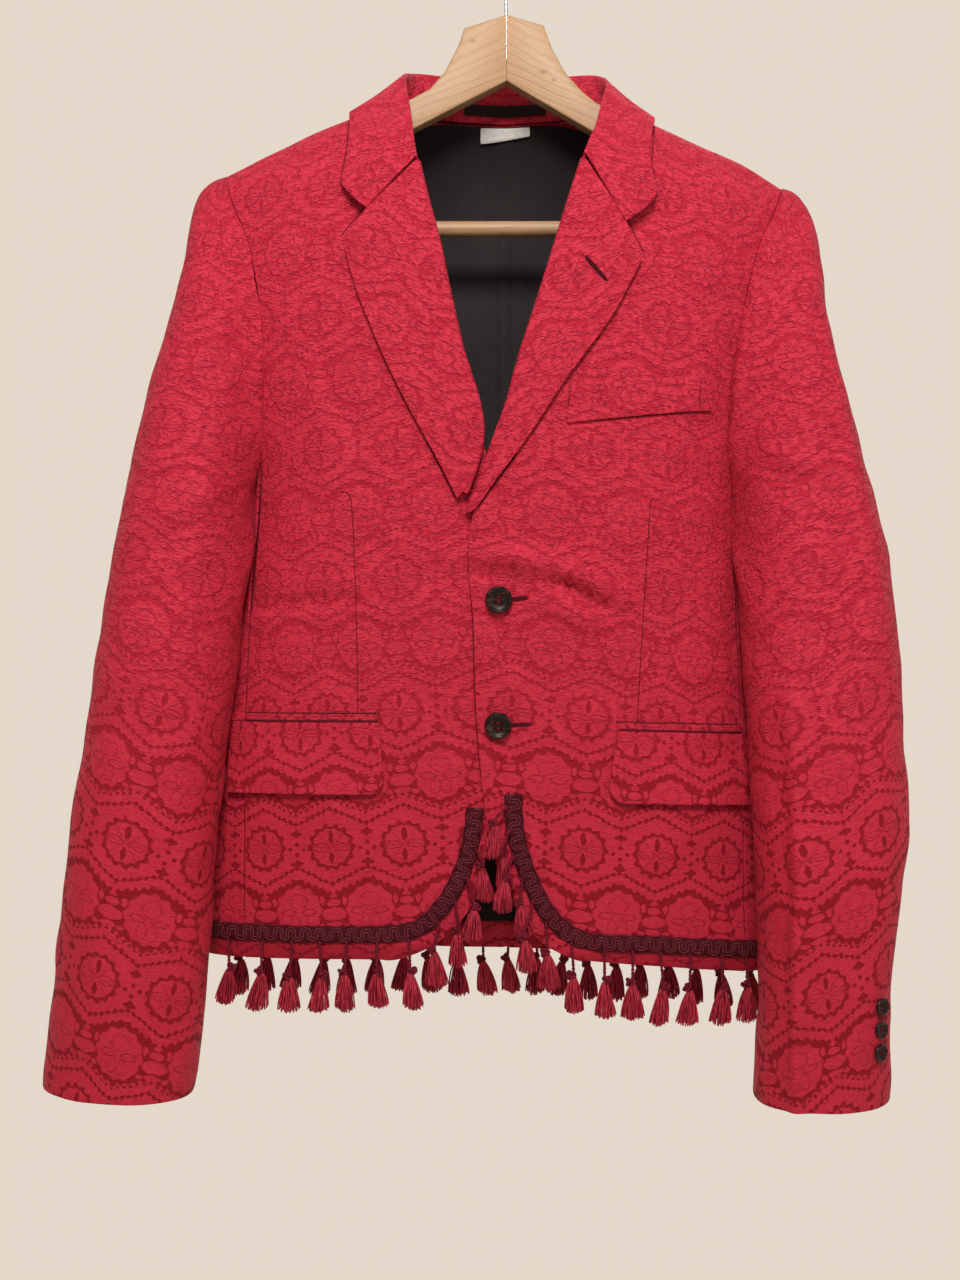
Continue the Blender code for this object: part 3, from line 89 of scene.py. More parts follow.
class Wire:
    """A number on its way through a material. Sums and products of wires add their Math nodes."""

    def __init__(self, tree, socket):
        self.tree = tree
        self.socket = socket

    def math(self, operation, *values):
        return combined(operation, self, *values)

    def __add__(self, other):
        return combined("ADD", self, other)

    def __sub__(self, other):
        return combined("SUBTRACT", self, other)

    def __rsub__(self, other):
        return combined("SUBTRACT", other, self)

    def __mul__(self, other):
        return combined("MULTIPLY", self, other)

    __radd__ = __add__
    __rmul__ = __mul__

    def below(self, edge, soft):
        """1 where the number is under the edge, 0 above it, with a soft step between."""
        return stepped(self, edge - soft, edge + soft, 1, 0)

    def above(self, edge, soft):
        return 1 - self.below(edge, soft)


def feed(value, socket):
    """Gives the socket a wire, another node's socket, a colour, a vector or a number."""
    if isinstance(value, Wire):
        value = value.socket
    if isinstance(value, bpy.types.NodeSocket):
        socket.id_data.links.new(value, socket)
    elif socket.type == "RGBA":
        socket.default_value = (*value, 1)
    else:
        socket.default_value = value


def added(tree, kind, *values, **settings):
    """A new node with these settings, its first sockets fed with the values."""
    made = tree.nodes.new("ShaderNode" + kind)
    for key, value in settings.items():
        setattr(made, key, value)
    for value, socket in zip(values, made.inputs):
        feed(value, socket)
    return made


def combined(operation, *values):
    """The Math node of this operation on wires and plain numbers."""
    tree = next(value.tree for value in values if isinstance(value, Wire))
    return Wire(tree, added(tree, "Math", *values, operation=operation).outputs[0])


def stepped(wire, low, high, first, last):
    """A smooth step from first to last while the wire goes from low to high."""
    made = added(wire.tree, "MapRange", wire, low, high, first, last, interpolation_type="SMOOTHSTEP")
    return Wire(wire.tree, made.outputs["Result"])


def parts_of(tree, socket):
    """The three parts of a vector socket as wires."""
    return [Wire(tree, part) for part in added(tree, "SeparateXYZ", socket).outputs]


def begun(name, color, roughness, specular=0.5):
    """A new material, and x, y and z of a place on the object as wires in metres."""
    made = bpy.data.materials.new(name)
    made.use_nodes = True
    tree = made.node_tree
    shader = tree.nodes["Principled BSDF"]
    feed(color, shader.inputs["Base Color"])
    feed(roughness, shader.inputs["Roughness"])
    feed(specular, shader.inputs["Specular IOR Level"])
    return made, *parts_of(tree, added(tree, "TexCoord").outputs["Object"])


bpy.ops.object.camera_add(location=EYE, rotation=(math.radians(90), 0, 0))
camera = bpy.context.object
camera.data.lens = LENS
camera.data.sensor_width = SENSOR
bpy.context.scene.camera = camera
bpy.context.scene.view_settings.view_transform = "Standard"
for place, faced, wide, watts, tint in LAMPS:
    bpy.ops.object.light_add(type="AREA", location=place)
    lamp = bpy.context.object
    lamp.rotation_euler = (Vector(faced) - Vector(place)).to_track_quat("-Z", "Y").to_euler()
    lamp.data.size = wide
    lamp.data.energy = watts
    lamp.data.color = tint
world = bpy.data.worlds.new("pale_room")
world.use_nodes = True
sky = world.node_tree
room = sky.nodes["Background"]
feed(PALE, room.inputs["Color"])
_, backwards, _ = parts_of(sky, added(sky, "TexCoord").outputs["Generated"])
feed(stepped(backwards, *ROOM_FADE, ROOM_BEFORE, ROOM_BEHIND), room.inputs["Strength"])
bpy.context.scene.world = world

bpy.ops.mesh.primitive_plane_add(size=FLOOR_WIDE, location=(0, 0, FLOOR_Z))
floor = bpy.context.object
floor.name = "floor"
floor.data.materials.append(begun("pale_floor", PALE, 0.8)[0])


# Brocade fronts
# Each front is one cut piece of crimson figured cloth on an interlining, with a waist dart from
# the chest to the pocket. The medallions stand up softly and the ground between them is sunk.
REPEAT_WIDE = 0.0563
REPEAT_HIGH = 0.0965
SECOND_ROW = -0.0465
# Painted light: high on the jacket the sunk ground is given a lighter colour, a painted sheen of the light
# from above, and low down the raised figure is given a darker one, a painted shade.
RAISED = (0.555, 0.0225, 0.0540)
RAISED_LIGHT = (0.640, 0.0360, 0.0740)
RAISED_PAINTED_SHADE = (0.400, 0.0110, 0.0300)
SUNK = (0.240, 0.0040, 0.0120)
SUNK_PAINTED_SHEEN = (0.480, 0.0150, 0.0400)
# Colour of the drawn lines, also painted into the fine wrinkles as their shade
DRAWN_AND_WRINKLE_SHADE = (0.330, 0.0085, 0.0240)
PAINTED_LIGHT_FADE = (-0.50, -0.70)   # heights between which the sunk ground goes from faint to deep
RELIEF = 0.001          # metres for one unit of a material's relief
HEM_LEFT = -0.7735      # height where the turned hem starts below the braid
HEM_RIGHT = -0.7790
HEM_SHADE = 0.004       # height over which the turned hem falls into the braid's shade
RIM_CREASE = 0.55
FACE_TURN = 40          # most degrees between two triangles that were one face
UNREST = 0.00080        # height of the cloth's faint unevenness
# Where the top button holds the cloth calm: x, z, and how far it reaches
CALM = (-0.0065, -0.523, 0.016)
PUFF = 0.00045
# Medallions that puff out: x and z from the first one, and radius
PUFFS = [(0, 0, 0.0150), (REPEAT_WIDE / 2, SECOND_ROW, 0.0175)]
# First medallion of each front: x and z of its middle, and how its row rises across the front
FRONT_PHASE = {-1: (-0.0802, -0.7013, -0.055), 1: (0.0601, -0.7057, 0.090)}
FRONT_FACE = -0.045     # behind it the cloth takes up ROUND of each metre of depth
ROUND = 0.75
SIDES = ((-1, "left"), (1, "right"))
# Ovals of the sunk ground: which frame, middle and half sizes in mm, mirrored over x and y there
SUNK_OVALS = [
    # Pair of upright lenses in the first medallion
    ("first", 0.0, 7.7, 1.8, 4.3),
    # Stars and dots between two of the first medallions
    ("between", 0.0, 10.6, 4.6, 1.7), ("between", 0.0, 10.9, 1.7, 3.0),
    ("between", 0.0, 2.9, 1.5, 1.5), ("between", 5.6, -0.8, 1.4, 1.3),
    ("between", 0.0, -4.8, 1.6, 1.6), ("between", 0.0, -11.8, 5.0, 1.7),
    ("between", 0.0, -11.4, 1.9, 3.1),
]
# Petals that stand up in the second row's ground, beside its discs
PETALS = [
    (0.0, -3.0, 9.6, 4.8), (0.0, 5.4, 5.4, 2.9), (0.0, -10.6, 6.4, 2.3),
    (0.0, 10.6, 3.4, 1.7), (8.6, 6.8, 2.2, 3.4), (9.6, -11.6, 3.0, 2.0),
]
# Drawn ovals: frame, middle and half sizes in mm, then the line's half width, softness and strength
DRAWN_OVALS = [
    ("first", 8.0, 0.0, 6.6, 2.7, 0.16, 0.14, 1.0), ("disc", 8.2, -1.0, 5.6, 2.5, 0.17, 0.14, 1.0),
    ("disc", 0.0, 7.0, 7.2, 5.4, 0.10, 0.12, 0.8), ("disc", 3.8, -9.4, 3.6, 5.2, 0.12, 0.12, 0.8),
]
# Broken zigzag bands: height in mm, rise to the next column, half width
BANDS = [(29.0, -12.0, 0.85), (36.5, -12.0, 0.2), (-27.0, 12.5, 0.85)]
# Rings, discs and the deep zone round the discs: how far out in mm, and how many scallops or rays
RING = 15.4
RING_HALF = 1.3
SCALLOPS = 14
DASHES = 1.34           # radians for each mm along a band
DISC = 18.3
DISC_SCALLOPS = 12
ZONE_HALF = (11.5, 12.0)
ZONE_SCALLOPS = 1.15    # radians for each mm along the zone's edge
RAYS = 8
RAY_ENDS = (2.0, 12.5)
# Creases of the fronts in mm: ends x, z and x, z, half width, height; a trough's height is negative
CREASES = [
    (-26, -491, 34, -494.5, 7, 5.6), (-30, -502, 6, -507.5, 6, -7.6), (8, -496, 52, -504, 6.5, 5),
    (44, -503, 84, -521.5, 6, 6.4), (28, -510, 47, -512.2, 3.6, -7.4),
    (45, -511.8, 58, -521.5, 3.6, -7.8), (56, -520.5, 80, -531.5, 3.4, -7),
    (26, -523.5, 72, -545, 8, 3.2), (72, -545, 110, -564, 9, -1.6), (-190, -527.5, -106, -523, 4.6, -6.2),
    (-188, -535.5, -108, -531, 5.2, 3.4), (-180, -517.5, -112, -514.5, 6, 2.2),
    (-106, -470, -72, -503, 6, -2.2), (-98, -466, -62, -496, 6, 2.2), (-104, -542, -40, -553, 7, -1.8),
    (-70, -478, -22, -499, 8, 2.2), (-90, -464, -36, -488, 7, -1.4), (-160, -320, -122, -430, 12, 2.4),
    (-146, -330, -104, -420, 10, -1.6), (152, -330, 120, -420, 12, 2), (125, -448, 166, -466, 8, 2.8),
    (118, -468, 168, -492, 6, -2.4), (112, -560, 162, -585, 8, 1.6), (-170, -630, -100, -700, 14, 1.8),
    (100, -715, 168, -665, 14, 1.8), (-90, -715, -55, -640, 10, -1.4), (50, -640, 66, -730, 10, -1.4),
]
# Hollows of the fronts alone, below each collar point, as above
NOTCHES = [
    (-120, -232, -103, -252, 8.5, -5.2), (108, -240, 90, -262, 8.5, -5.2),
]


def pair(x, y):
    """Two wires as one wire of a place."""
    return Wire(x.tree, added(x.tree, "CombineXYZ", x, y).outputs[0])


def attribute(tree, name):
    """The three parts of a mesh attribute as wires."""
    return parts_of(tree, added(tree, "Attribute", attribute_name=name).outputs["Vector"])


def oval(place, x, y, half_x, half_y):
    """1 on the oval's outline and less inside it."""
    shares = (1 / half_x, 1 / half_y, 0)
    start = (-x / half_x, -y / half_y, 0)
    scaled = added(place.tree, "VectorMath", place, shares, start, operation="MULTIPLY_ADD")
    length = added(place.tree, "VectorMath", scaled.outputs[0], operation="LENGTH")
    return Wire(place.tree, length.outputs["Value"])


def noise(x, y, detail=2.0, roughness=0.5):
    """Noise over two wires, one unit for a lump."""
    made = added(x.tree, "TexNoise", pair(x, y), noise_dimensions="2D")
    for name, value in (("Scale", 1), ("Detail", detail), ("Roughness", roughness)):
        feed(value, made.inputs[name])
    return Wire(x.tree, made.outputs[0])


def mixed(share, first, second):
    """A colour from first to second by the share; each is a colour or a colour socket."""
    made = added(share.tree, "Mix", share, data_type="RGBA")
    feed(first, made.inputs[6])
    feed(second, made.inputs[7])
    return made.outputs[2]


def finished(made, tone, relief, roughness=None):
    """The material with its colour, its relief and, if it varies, its roughness."""
    tree = made.node_tree
    shader = tree.nodes["Principled BSDF"]
    feed(tone, shader.inputs["Base Color"])
    if roughness is not None:
        feed(roughness, shader.inputs["Roughness"])
    bump = added(tree, "Bump")
    feed(RELIEF, bump.inputs["Distance"])
    feed(relief, bump.inputs["Height"])
    feed(bump.outputs[0], shader.inputs["Normal"])
    return made


def brocade_design(across, up):
    """Sunk ground and fine drawn lines of the figured cloth, from its two coordinates in metres."""
    x = across * 1000
    y = up * 1000
    wide = REPEAT_WIDE * 1000
    high = REPEAT_HIGH * 1000
    first_x = x.math("WRAP", wide / 2, -wide / 2)
    first_y = y.math("WRAP", high / 2, -high / 2)
    second_x = (x + wide / 2).math("WRAP", wide / 2, -wide / 2)
    second_y = (y - SECOND_ROW * 1000).math("WRAP", high / 2, -high / 2)
    side = first_x.math("ABSOLUTE")
    share = side * (2 / wide)
    other_side = second_x.math("ABSOLUTE")
    frames = {
        "first": pair(side, first_y.math("ABSOLUTE")), "between": pair(other_side, first_y),
        "petals": pair(side, second_y), "disc": pair(other_side, second_y),
    }

    def nearest(rows):
        """Least of the table's ovals: under 1 inside any of them."""
        least = None
        for name, *row in rows:
            found = oval(frames[name], *row)
            least = found if least is None else least.math("MINIMUM", found)
        return least

    # First medallion: a ring with small scallops
    turn = first_y.math("ARCTAN2", first_x)
    reach = oval(frames["first"], 0, 0, 1.06, 0.98)
    scallop = (turn * SCALLOPS).math("COSINE")
    ring = (reach - RING - scallop * 0.8).math("ABSOLUTE")
    sunk = ring.below(RING_HALF + scallop * 0.4, 0.8)
    sunk = sunk.math("MAXIMUM", nearest(SUNK_OVALS).below(1.0, 0.22))
    # Broken zigzag bands above and below the first medallions
    dashes = (first_x * DASHES).math("COSINE")
    for foot, slope, thick in BANDS:
        line = (first_y - foot - share * slope).math("ABSOLUTE")
        sunk = sunk.math("MAXIMUM", line.below(thick + dashes * 0.75, 0.5))
    # Second row: discs and petals that stand in a deep ground with a scalloped edge
    scallop = (first_x * ZONE_SCALLOPS).math("COSINE") * 1.1
    below, above = ZONE_HALF
    zone = (second_y - above - share * above + scallop).below(0, 0.9)
    zone = zone * (second_y + below + share * below + scallop).above(0, 0.9)
    disc_turn = second_y.math("ARCTAN2", second_x)
    disc = oval(frames["disc"], 0, 0, 1, 1) - (disc_turn * DISC_SCALLOPS).math("COSINE") * 0.8
    petals = nearest([("petals", *row) for row in PETALS])
    stands = petals.below(1.0, 0.12).math("MAXIMUM", disc.below(DISC, 0.8))
    sunk = sunk.math("MAXIMUM", zone * (1 - stands))
    # Drawn lenses and ovals, broken by the crepe, and the first medallion's rays
    lines = 0
    for name, *row, thick, soft, strength in DRAWN_OVALS:
        outline = (oval(frames[name], *row) - 1).math("ABSOLUTE")
        lines = (outline.below(thick, soft) * strength).math("MAXIMUM", lines)
    lines = lines * (0.30 + 0.70 * noise(across * 330, up * 420, 1.0).above(0.46, 0.09))
    near, far = RAY_ENDS
    rays = (turn * RAYS).math("COSINE").above(0.93, 0.05) * reach.below(far, 1.0) * reach.above(near, 0.8)
    return sunk, lines.math("MAXIMUM", rays * 0.6)


def brocade_finish():
    made, _, _, height = begun("brocade", RAISED, 0.52, 0.15)
    tree = made.node_tree
    across, up, _ = attribute(tree, "cloth")
    # The crepe of the cloth pushes every line a little out of true
    sway = noise(across * 110, up * 260) - 0.5
    sway_up = noise(across * 150 + 7.3, up * 210) - 0.5
    across = across + sway * 0.0022
    up = up + sway_up * 0.0026
    sunk, lines = brocade_design(across, up)
    # From the chest down to the hem the painted sheen on the ground fades and the raised figure takes more
    # painted shade; the same share also calms the blisters and fine wrinkles lower down.
    painted_light_falloff = height.below((PAINTED_LIGHT_FADE[0] + PAINTED_LIGHT_FADE[1]) / 2, (PAINTED_LIGHT_FADE[0] - PAINTED_LIGHT_FADE[1]) / 2)
    # Short lengthwise blisters, fine crepe wrinkles sunk in the relief and painted darker as the shade in
    # them, and the grain of the threads
    blister = noise(across * 240, up * 820, 3.0, 0.62)
    patch = noise(across * 125 + 5.1, up * 330, 1.0).above(0.50, 0.05)
    drift = noise(across * 70, up * 150, 2.0)
    row = (up * 370 + drift * 3.4).math("WRAP", 0.5, -0.5).math("ABSOLUTE")
    wrinkle_and_shade = row.below(0.085, 0.085) * patch
    patch = noise(across * 240 + 9.2, up * 640, 1.0).above(0.52, 0.05)
    row = (up * 760 + drift * 5.0).math("WRAP", 0.5, -0.5).math("ABSOLUTE")
    wrinkle_and_shade = wrinkle_and_shade.math("MAXIMUM", row.below(0.13, 0.12) * patch * 0.6) * (1 - painted_light_falloff * 0.60)
    thread = (across * 9000).math("SINE") * (up * 9000).math("SINE")
    # Ground with its painted sheen above, and raised figure with its painted shade below
    ground = mixed(painted_light_falloff, SUNK_PAINTED_SHEEN, SUNK)
    raised = mixed(blister.above(0.58, 0.16), RAISED, RAISED_LIGHT)
    raised = mixed(painted_light_falloff * 0.42, raised, RAISED_PAINTED_SHADE)
    brim = sunk * (1 - sunk) * 1.6
    # Drawn lines and the figure's edge, with the painted shade of the fine wrinkles
    drawn = (lines * 0.75).math("MAXIMUM", wrinkle_and_shade * 0.62).math("MAXIMUM", brim)
    tone = mixed(sunk * 0.94, raised, ground)
    tone = mixed(drawn * (1 - sunk * 0.6), tone, DRAWN_AND_WRINKLE_SHADE)
    # Painted shade of the braid on the turned hem below it
    hem, _, _ = attribute(tree, "hem")
    tone = mixed(hem * 0.62, tone, SUNK)
    for name, value in (("Weight", 0.035), ("Roughness", 0.45), ("Tint", (1.0, 0.45, 0.52))):
        feed(value, tree.nodes["Principled BSDF"].inputs[f"Sheen {name}"])
    relief = (1 - sunk) * 0.62 - lines * 0.50 - wrinkle_and_shade * 0.60
    relief = relief + blister * (0.66 - painted_light_falloff * 0.26) + thread * 0.02
    return finished(made, tone, relief, 0.58 + sunk * 0.14 + blister * 0.10)


brocade = brocade_finish()


def alone(made):
    """Selects this object and nothing else."""
    bpy.ops.object.select_all(action="DESELECT")
    made.select_set(True)
    bpy.context.view_layer.objects.active = made


def smooth_over(made, degrees):
    alone(made)
    bpy.ops.object.shade_smooth_by_angle(angle=math.radians(degrees))


def merge_points(distance, outwards=False):
    """Merges the active mesh's points that lie this close, and turns its faces outwards if asked."""
    bpy.ops.object.mode_set(mode="EDIT")
    bpy.ops.mesh.select_all(action="SELECT")
    bpy.ops.mesh.remove_doubles(threshold=distance)
    if outwards:
        bpy.ops.mesh.normals_make_consistent(inside=False)
    bpy.ops.object.mode_set(mode="OBJECT")


def merged_copy(node, name):
    """A copy of a carried-over wall, its corners merged and its four-sided faces put back."""
    source = frame["nodes"][node]
    made = source.copy()
    made.data = source.data.copy()
    made.name = name
    made.data.name = name
    made.parent = None
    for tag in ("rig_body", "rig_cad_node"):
        del made[tag]
    bpy.context.scene.collection.objects.link(made)
    alone(made)
    bpy.ops.mesh.customdata_custom_splitnormals_clear()
    merge_points(0.00001)
    mesh = bmesh.new()
    mesh.from_mesh(made.data)
    taken = set()
    diagonals = []
    for edge in sorted(mesh.edges, key=lambda edge: -edge.calc_length()):
        faces = set(edge.link_faces)
        if len(faces) == 2 and not faces & taken and edge.calc_face_angle() < math.radians(FACE_TURN):
            taken |= faces
            diagonals.append(edge)
    bmesh.ops.dissolve_edges(mesh, edges=diagonals, use_verts=False)
    mesh.to_mesh(made.data)
    mesh.free()
    return made


def points_of(mesh):
    found = np.empty(len(mesh.vertices) * 3)
    mesh.vertices.foreach_get("co", found)
    return found.reshape(-1, 3)


def set_points(mesh, points):
    mesh.vertices.foreach_set("co", points.ravel())
    mesh.update()


def applied(made, kind, **settings):
    """Adds a modifier of this kind to the piece and applies it."""
    modifier = made.modifiers.new(kind.lower(), kind)
    for key, value in settings.items():
        setattr(modifier, key, value)
    alone(made)
    bpy.ops.object.modifier_apply(modifier=modifier.name)


def smooth_wall(node, levels=3, rim_angle=62):
    """The wall as a smooth one whose surface still goes through all of the wall's own corners."""
    made = merged_copy(node, f"{node}_cloth")
    mesh = bmesh.new()
    mesh.from_mesh(made.data)
    marks = mesh.edges.layers.float.get("crease_edge") or mesh.edges.layers.float.new("crease_edge")
    for edge in mesh.edges:
        if len(edge.link_faces) == 2 and edge.calc_face_angle() > math.radians(rim_angle):
            edge[marks] = RIM_CREASE
    mesh.to_mesh(made.data)
    mesh.free()
    wanted = points_of(made.data)
    pulled = wanted.copy()
    trial = made.modifiers.new("trial", "SUBSURF")
    trial.levels = 1
    for _ in range(3):
        set_points(made.data, pulled)
        graph = bpy.context.evaluated_depsgraph_get()
        found = points_of(made.evaluated_get(graph).data)[:len(wanted)]
        pulled = pulled + (wanted - found)
    set_points(made.data, pulled)
    made.modifiers.remove(trial)
    applied(made, "SUBSURF", levels=levels, render_levels=levels)
    smooth_over(made, 50)
    return made


def ridges(rows, x, z):
    """Sum of the soft ridges and troughs in the table at these places."""
    lift = np.zeros_like(x)
    for x0, z0, x1, z1, width, height in np.array(rows) / 1000:
        run_x = x1 - x0
        run_z = z1 - z0
        t = ((x - x0) * run_x + (z - z0) * run_z) / (run_x**2 + run_z**2)
        t = np.clip(t, 0, 1)
        away = np.hypot(x - x0 - t * run_x, z - z0 - t * run_z) / width
        lift += height * np.exp(-away ** (1.3 if height < 0 else 2.0)) * (1 - 0.5 * (2 * t - 1) ** 2)
    return lift


def swelling(across, up):
    """How far the medallions puff out, for the form of the cloth itself."""
    total = np.zeros_like(across)
    for shift_x, shift_y, radius in PUFFS:
        x = (across - shift_x + REPEAT_WIDE / 2) % REPEAT_WIDE - REPEAT_WIDE / 2
        y = (up - shift_y + REPEAT_HIGH / 2) % REPEAT_HIGH - REPEAT_HIGH / 2
        total += PUFF * np.clip(1.05 - (np.hypot(x, y) / radius) ** 4, 0, 1)
    return total


def unrest(x, z, seed=0.0):
    """Faint unevenness of cloth that hangs, from a few slow waves."""
    wave = np.sin(61 * x + 23 * z + seed) * np.sin(47 * z - 18 * x + 2.1 * seed)
    wave += 0.6 * np.sin(139 * z + 41 * x + 1.7 + seed) * np.sin(97 * x - 13 * z + seed)
    return UNREST * wave


def marked(made, name, *parts):
    """Writes three numbers on every point, for the materials to read."""
    marks = made.data.attributes.new(name, "FLOAT_VECTOR", "POINT")
    marks.data.foreach_set("vector", np.column_stack(parts).astype(np.float32).ravel())


def hem_shade_marks(made, z, side):
    """Marks the turned hem below the braid, which lies in its shade."""
    share = np.clip(((HEM_LEFT if side < 0 else HEM_RIGHT) - z) / HEM_SHADE, 0, 1)
    marked(made, "hem", share, share, share)


def dress(made, material, slot, *nodes):
    """Gives the piece its one material and its body, and hides the nodes it stands for."""
    made.data.materials.clear()
    made.data.materials.append(material)
    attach(made, "root")
    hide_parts(*nodes)


def opened(node, *settings):
    """A cut piece as a smooth wall, and its points, to be moved in place, with their x, y and z."""
    made = smooth_wall(node, *settings)
    spots = points_of(made.data)
    return made, spots, spots.T


def put_on(made, spots, cut, across=None, up=None, material=brocade, slot="brocade"):
    """Dresses a cut piece. Its cut is its width and length before sewing, and the share of them it
    fills; it is not used. Across and up are the cloth's own coordinates, which the weave follows."""
    set_points(made.data, spots)
    if across is not None:
        marked(made, "cloth", across, up, np.zeros_like(up))
    dress(made, material, slot, made.name.removesuffix("_cloth"))
    width, length, share = cut
    width * length * share


def front_marks(x, y, z, side):
    """Cloth coordinates of a front: across from the first medallion's column, and up."""
    middle_x, middle_z, rise = FRONT_PHASE[side]
    across = x - middle_x + side * ROUND * np.clip(y - FRONT_FACE, 0, 1)
    return across, z - middle_z + rise * (x - middle_x)


def front_shift(x, z, across, up):
    """How far the front's cloth stands forward, calm where the top button holds it."""
    calm_x, calm_z, reach = CALM
    calm = 1 - np.exp(-(((x - calm_x) / reach) ** 2 + ((z - calm_z) / reach) ** 2))
    return (ridges(CREASES + NOTCHES, x, z) + unrest(x, z)) * calm + swelling(across, up)


for side, side_name in SIDES:
    panel, spots, (x, y, z) = opened(f"front_{side_name}")
    across, up = front_marks(x, y, z, side)
    spots[:, 1] -= front_shift(x, z, across, up)
    hem_shade_marks(panel, z, side)
    put_on(panel, spots, (0.30, 0.66, 0.66), across, up)


# Back and sides
# The back is cut in two halves with a seam down its middle, and a narrow panel under each arm
# goes from the front's seam to the back's.
BACK_FACE = 0.030
BACK_PHASE = -0.7030
# Creases of the back, as the fronts'
BACK_CREASES = [
    (-150, -250, -60, -330, 15, 2.6), (140, -255, 70, -340, 15, 2.2), (-160, -470, -40, -500, 8, 2.9),
    (-150, -486, -60, -512, 6, -2.2), (150, -480, 30, -515, 8, 2.9), (140, -500, 50, -528, 6, -2.1),
    (-120, -560, -20, -545, 9, 1.9), (-60, -600, -90, -740, 16, 1.9), (70, -600, 100, -745, 16, 2.1),
    (20, -180, 60, -215, 9, -1.6),
]
for side, side_name in SIDES:
    panel, spots, (x, y, z) = opened(f"back_{side_name}")
    across = x - side * ROUND * np.clip(BACK_FACE - y, 0, 1)
    up = z - BACK_PHASE
    spots[:, 1] += ridges(BACK_CREASES, x, z) + unrest(x, z, 1.0) + swelling(across, up)
    put_on(panel, spots, (0.29, 0.69, 0.70), across, up)

    panel, spots, (x, y, z) = opened(f"side_{side_name}")
    front_across, up = front_marks(x, np.minimum(y, 0.0), z, side)
    across = front_across + side * np.clip(y, 0, 1)
    hem_shade_marks(panel, z, side)
    put_on(panel, spots, (0.075, 0.36, 0.80), across, up)


# Sleeves
# Two-piece sleeves, set in at the armhole and bent a little at the elbow. The wide upper piece
# shows, and the narrow under piece lies against the body.
# Middle line of each sleeve: z, x, y
SLEEVE_LINES = {
    -1: [(-0.23, -0.213, -0.001), (-0.38, -0.226, -0.008), (-0.476, -0.236, -0.016),
         (-0.580, -0.254, -0.027), (-0.635, -0.2605, -0.035), (-0.780, -0.2745, -0.046),
         (-0.877, -0.283, -0.046)],
    1: [(-0.23, 0.203, -0.001), (-0.38, 0.2125, -0.010), (-0.480, 0.221, -0.022),
        (-0.580, 0.2315, -0.040), (-0.635, 0.232, -0.051), (-0.718, 0.2297, -0.063),
        (-0.775, 0.226, -0.065), (-0.875, 0.2228, -0.062)],
}
SLEEVE_AROUND = 0.050   # radius that turns an angle round the sleeve to metres
SLEEVE_HEAD = -0.235    # the creases fade out above it, over SLEEVE_EASE
SLEEVE_EASE = 0.05
# Creases of the sleeves in mm, as the fronts', but x is measured round the sleeve from its front,
# outwards positive. The last row of the right sleeve is its pressed line.
SLEEVE_CREASES = {
    -1: [
        (-20, -300, -12, -520, 14, 3.7), (-35, -440, 30, -480, 8, 3.1), (-40, -500, 20, -530, 8, -2.7),
        (-30, -560, 34, -590, 9, 2.4), (-34, -600, 10, -628, 7.5, -2.2), (10, -640, 18, -830, 16, 2.7),
        (-30, -330, 0, -380, 8, -2.4), (-24, -700, -30, -850, 12, -2), (60, -420, 100, -500, 11, 2.7),
        (80, -560, 120, -600, 10, -2.4), (-90, -450, -60, -520, 11, 2.7),
    ],
    1: [
        (26, -330, 30, -560, 12, 3.7), (16, -330, 18, -540, 8, -3.1), (-30, -430, 20, -452, 7, -3.1),
        (-34, -416, 16, -436, 7, 2.7), (-25, -480, 30, -515, 9, 2.7), (-30, -540, 30, -580, 8, -2.4),
        (-10, -600, -24, -760, 11, 3.4), (-4, -760, -16, -860, 12, -2.4), (30, -620, 24, -820, 14, 2.2),
        (80, -440, 110, -520, 11, 2.7), (-90, -460, -60, -530, 11, 2.7), (-33, -590, -31, -900, 6.5, 6),
    ],
}
# How far the side by the body is let out towards it: height, left, right
SLEEVE_INNER = [
    (-0.88, 0.0050, 0.0010), (-0.79, 0.0080, 0.0030), (-0.70, 0.0076, 0.0055),
    (-0.55, 0.0068, 0.0085), (-0.45, 0.0050, 0.0080), (-0.38, 0.0020, 0.0045), (-0.30, 0.0, 0.0),
]
# Where the medallions sit on each sleeve, and how its rows and columns lean to its middle line
SLEEVE_PHASE = {-1: (0.0120, 0.6927, 0.42, -0.13), 1: (0.0117, 0.6926, -0.43, 0.174)}
SLEEVE_PHASE_AT = -0.79


def sleeve_place(side, x, y, z, piece):
    """Turn round the sleeve from its front, outwards positive, and the way out from its middle."""
    rows = np.array(sorted(SLEEVE_LINES[side]))
    middle_x = np.interp(z, rows[:, 0], rows[:, 1])
    middle_y = np.interp(z, rows[:, 0], rows[:, 2])
    out_x = (x - middle_x) * side
    out_y = y - middle_y
    turn = np.arctan2(out_x, -out_y)
    # Each piece counts its turn without a jump, past the seam behind or in front
    if piece == "top":
        turn = np.where(turn < -math.radians(150), turn + 2 * math.pi, turn)
    else:
        turn = np.where(turn > math.radians(30), turn - 2 * math.pi, turn)
    reach = np.hypot(out_x, out_y)
    return turn, out_x * side / reach, out_y / reach, middle_x


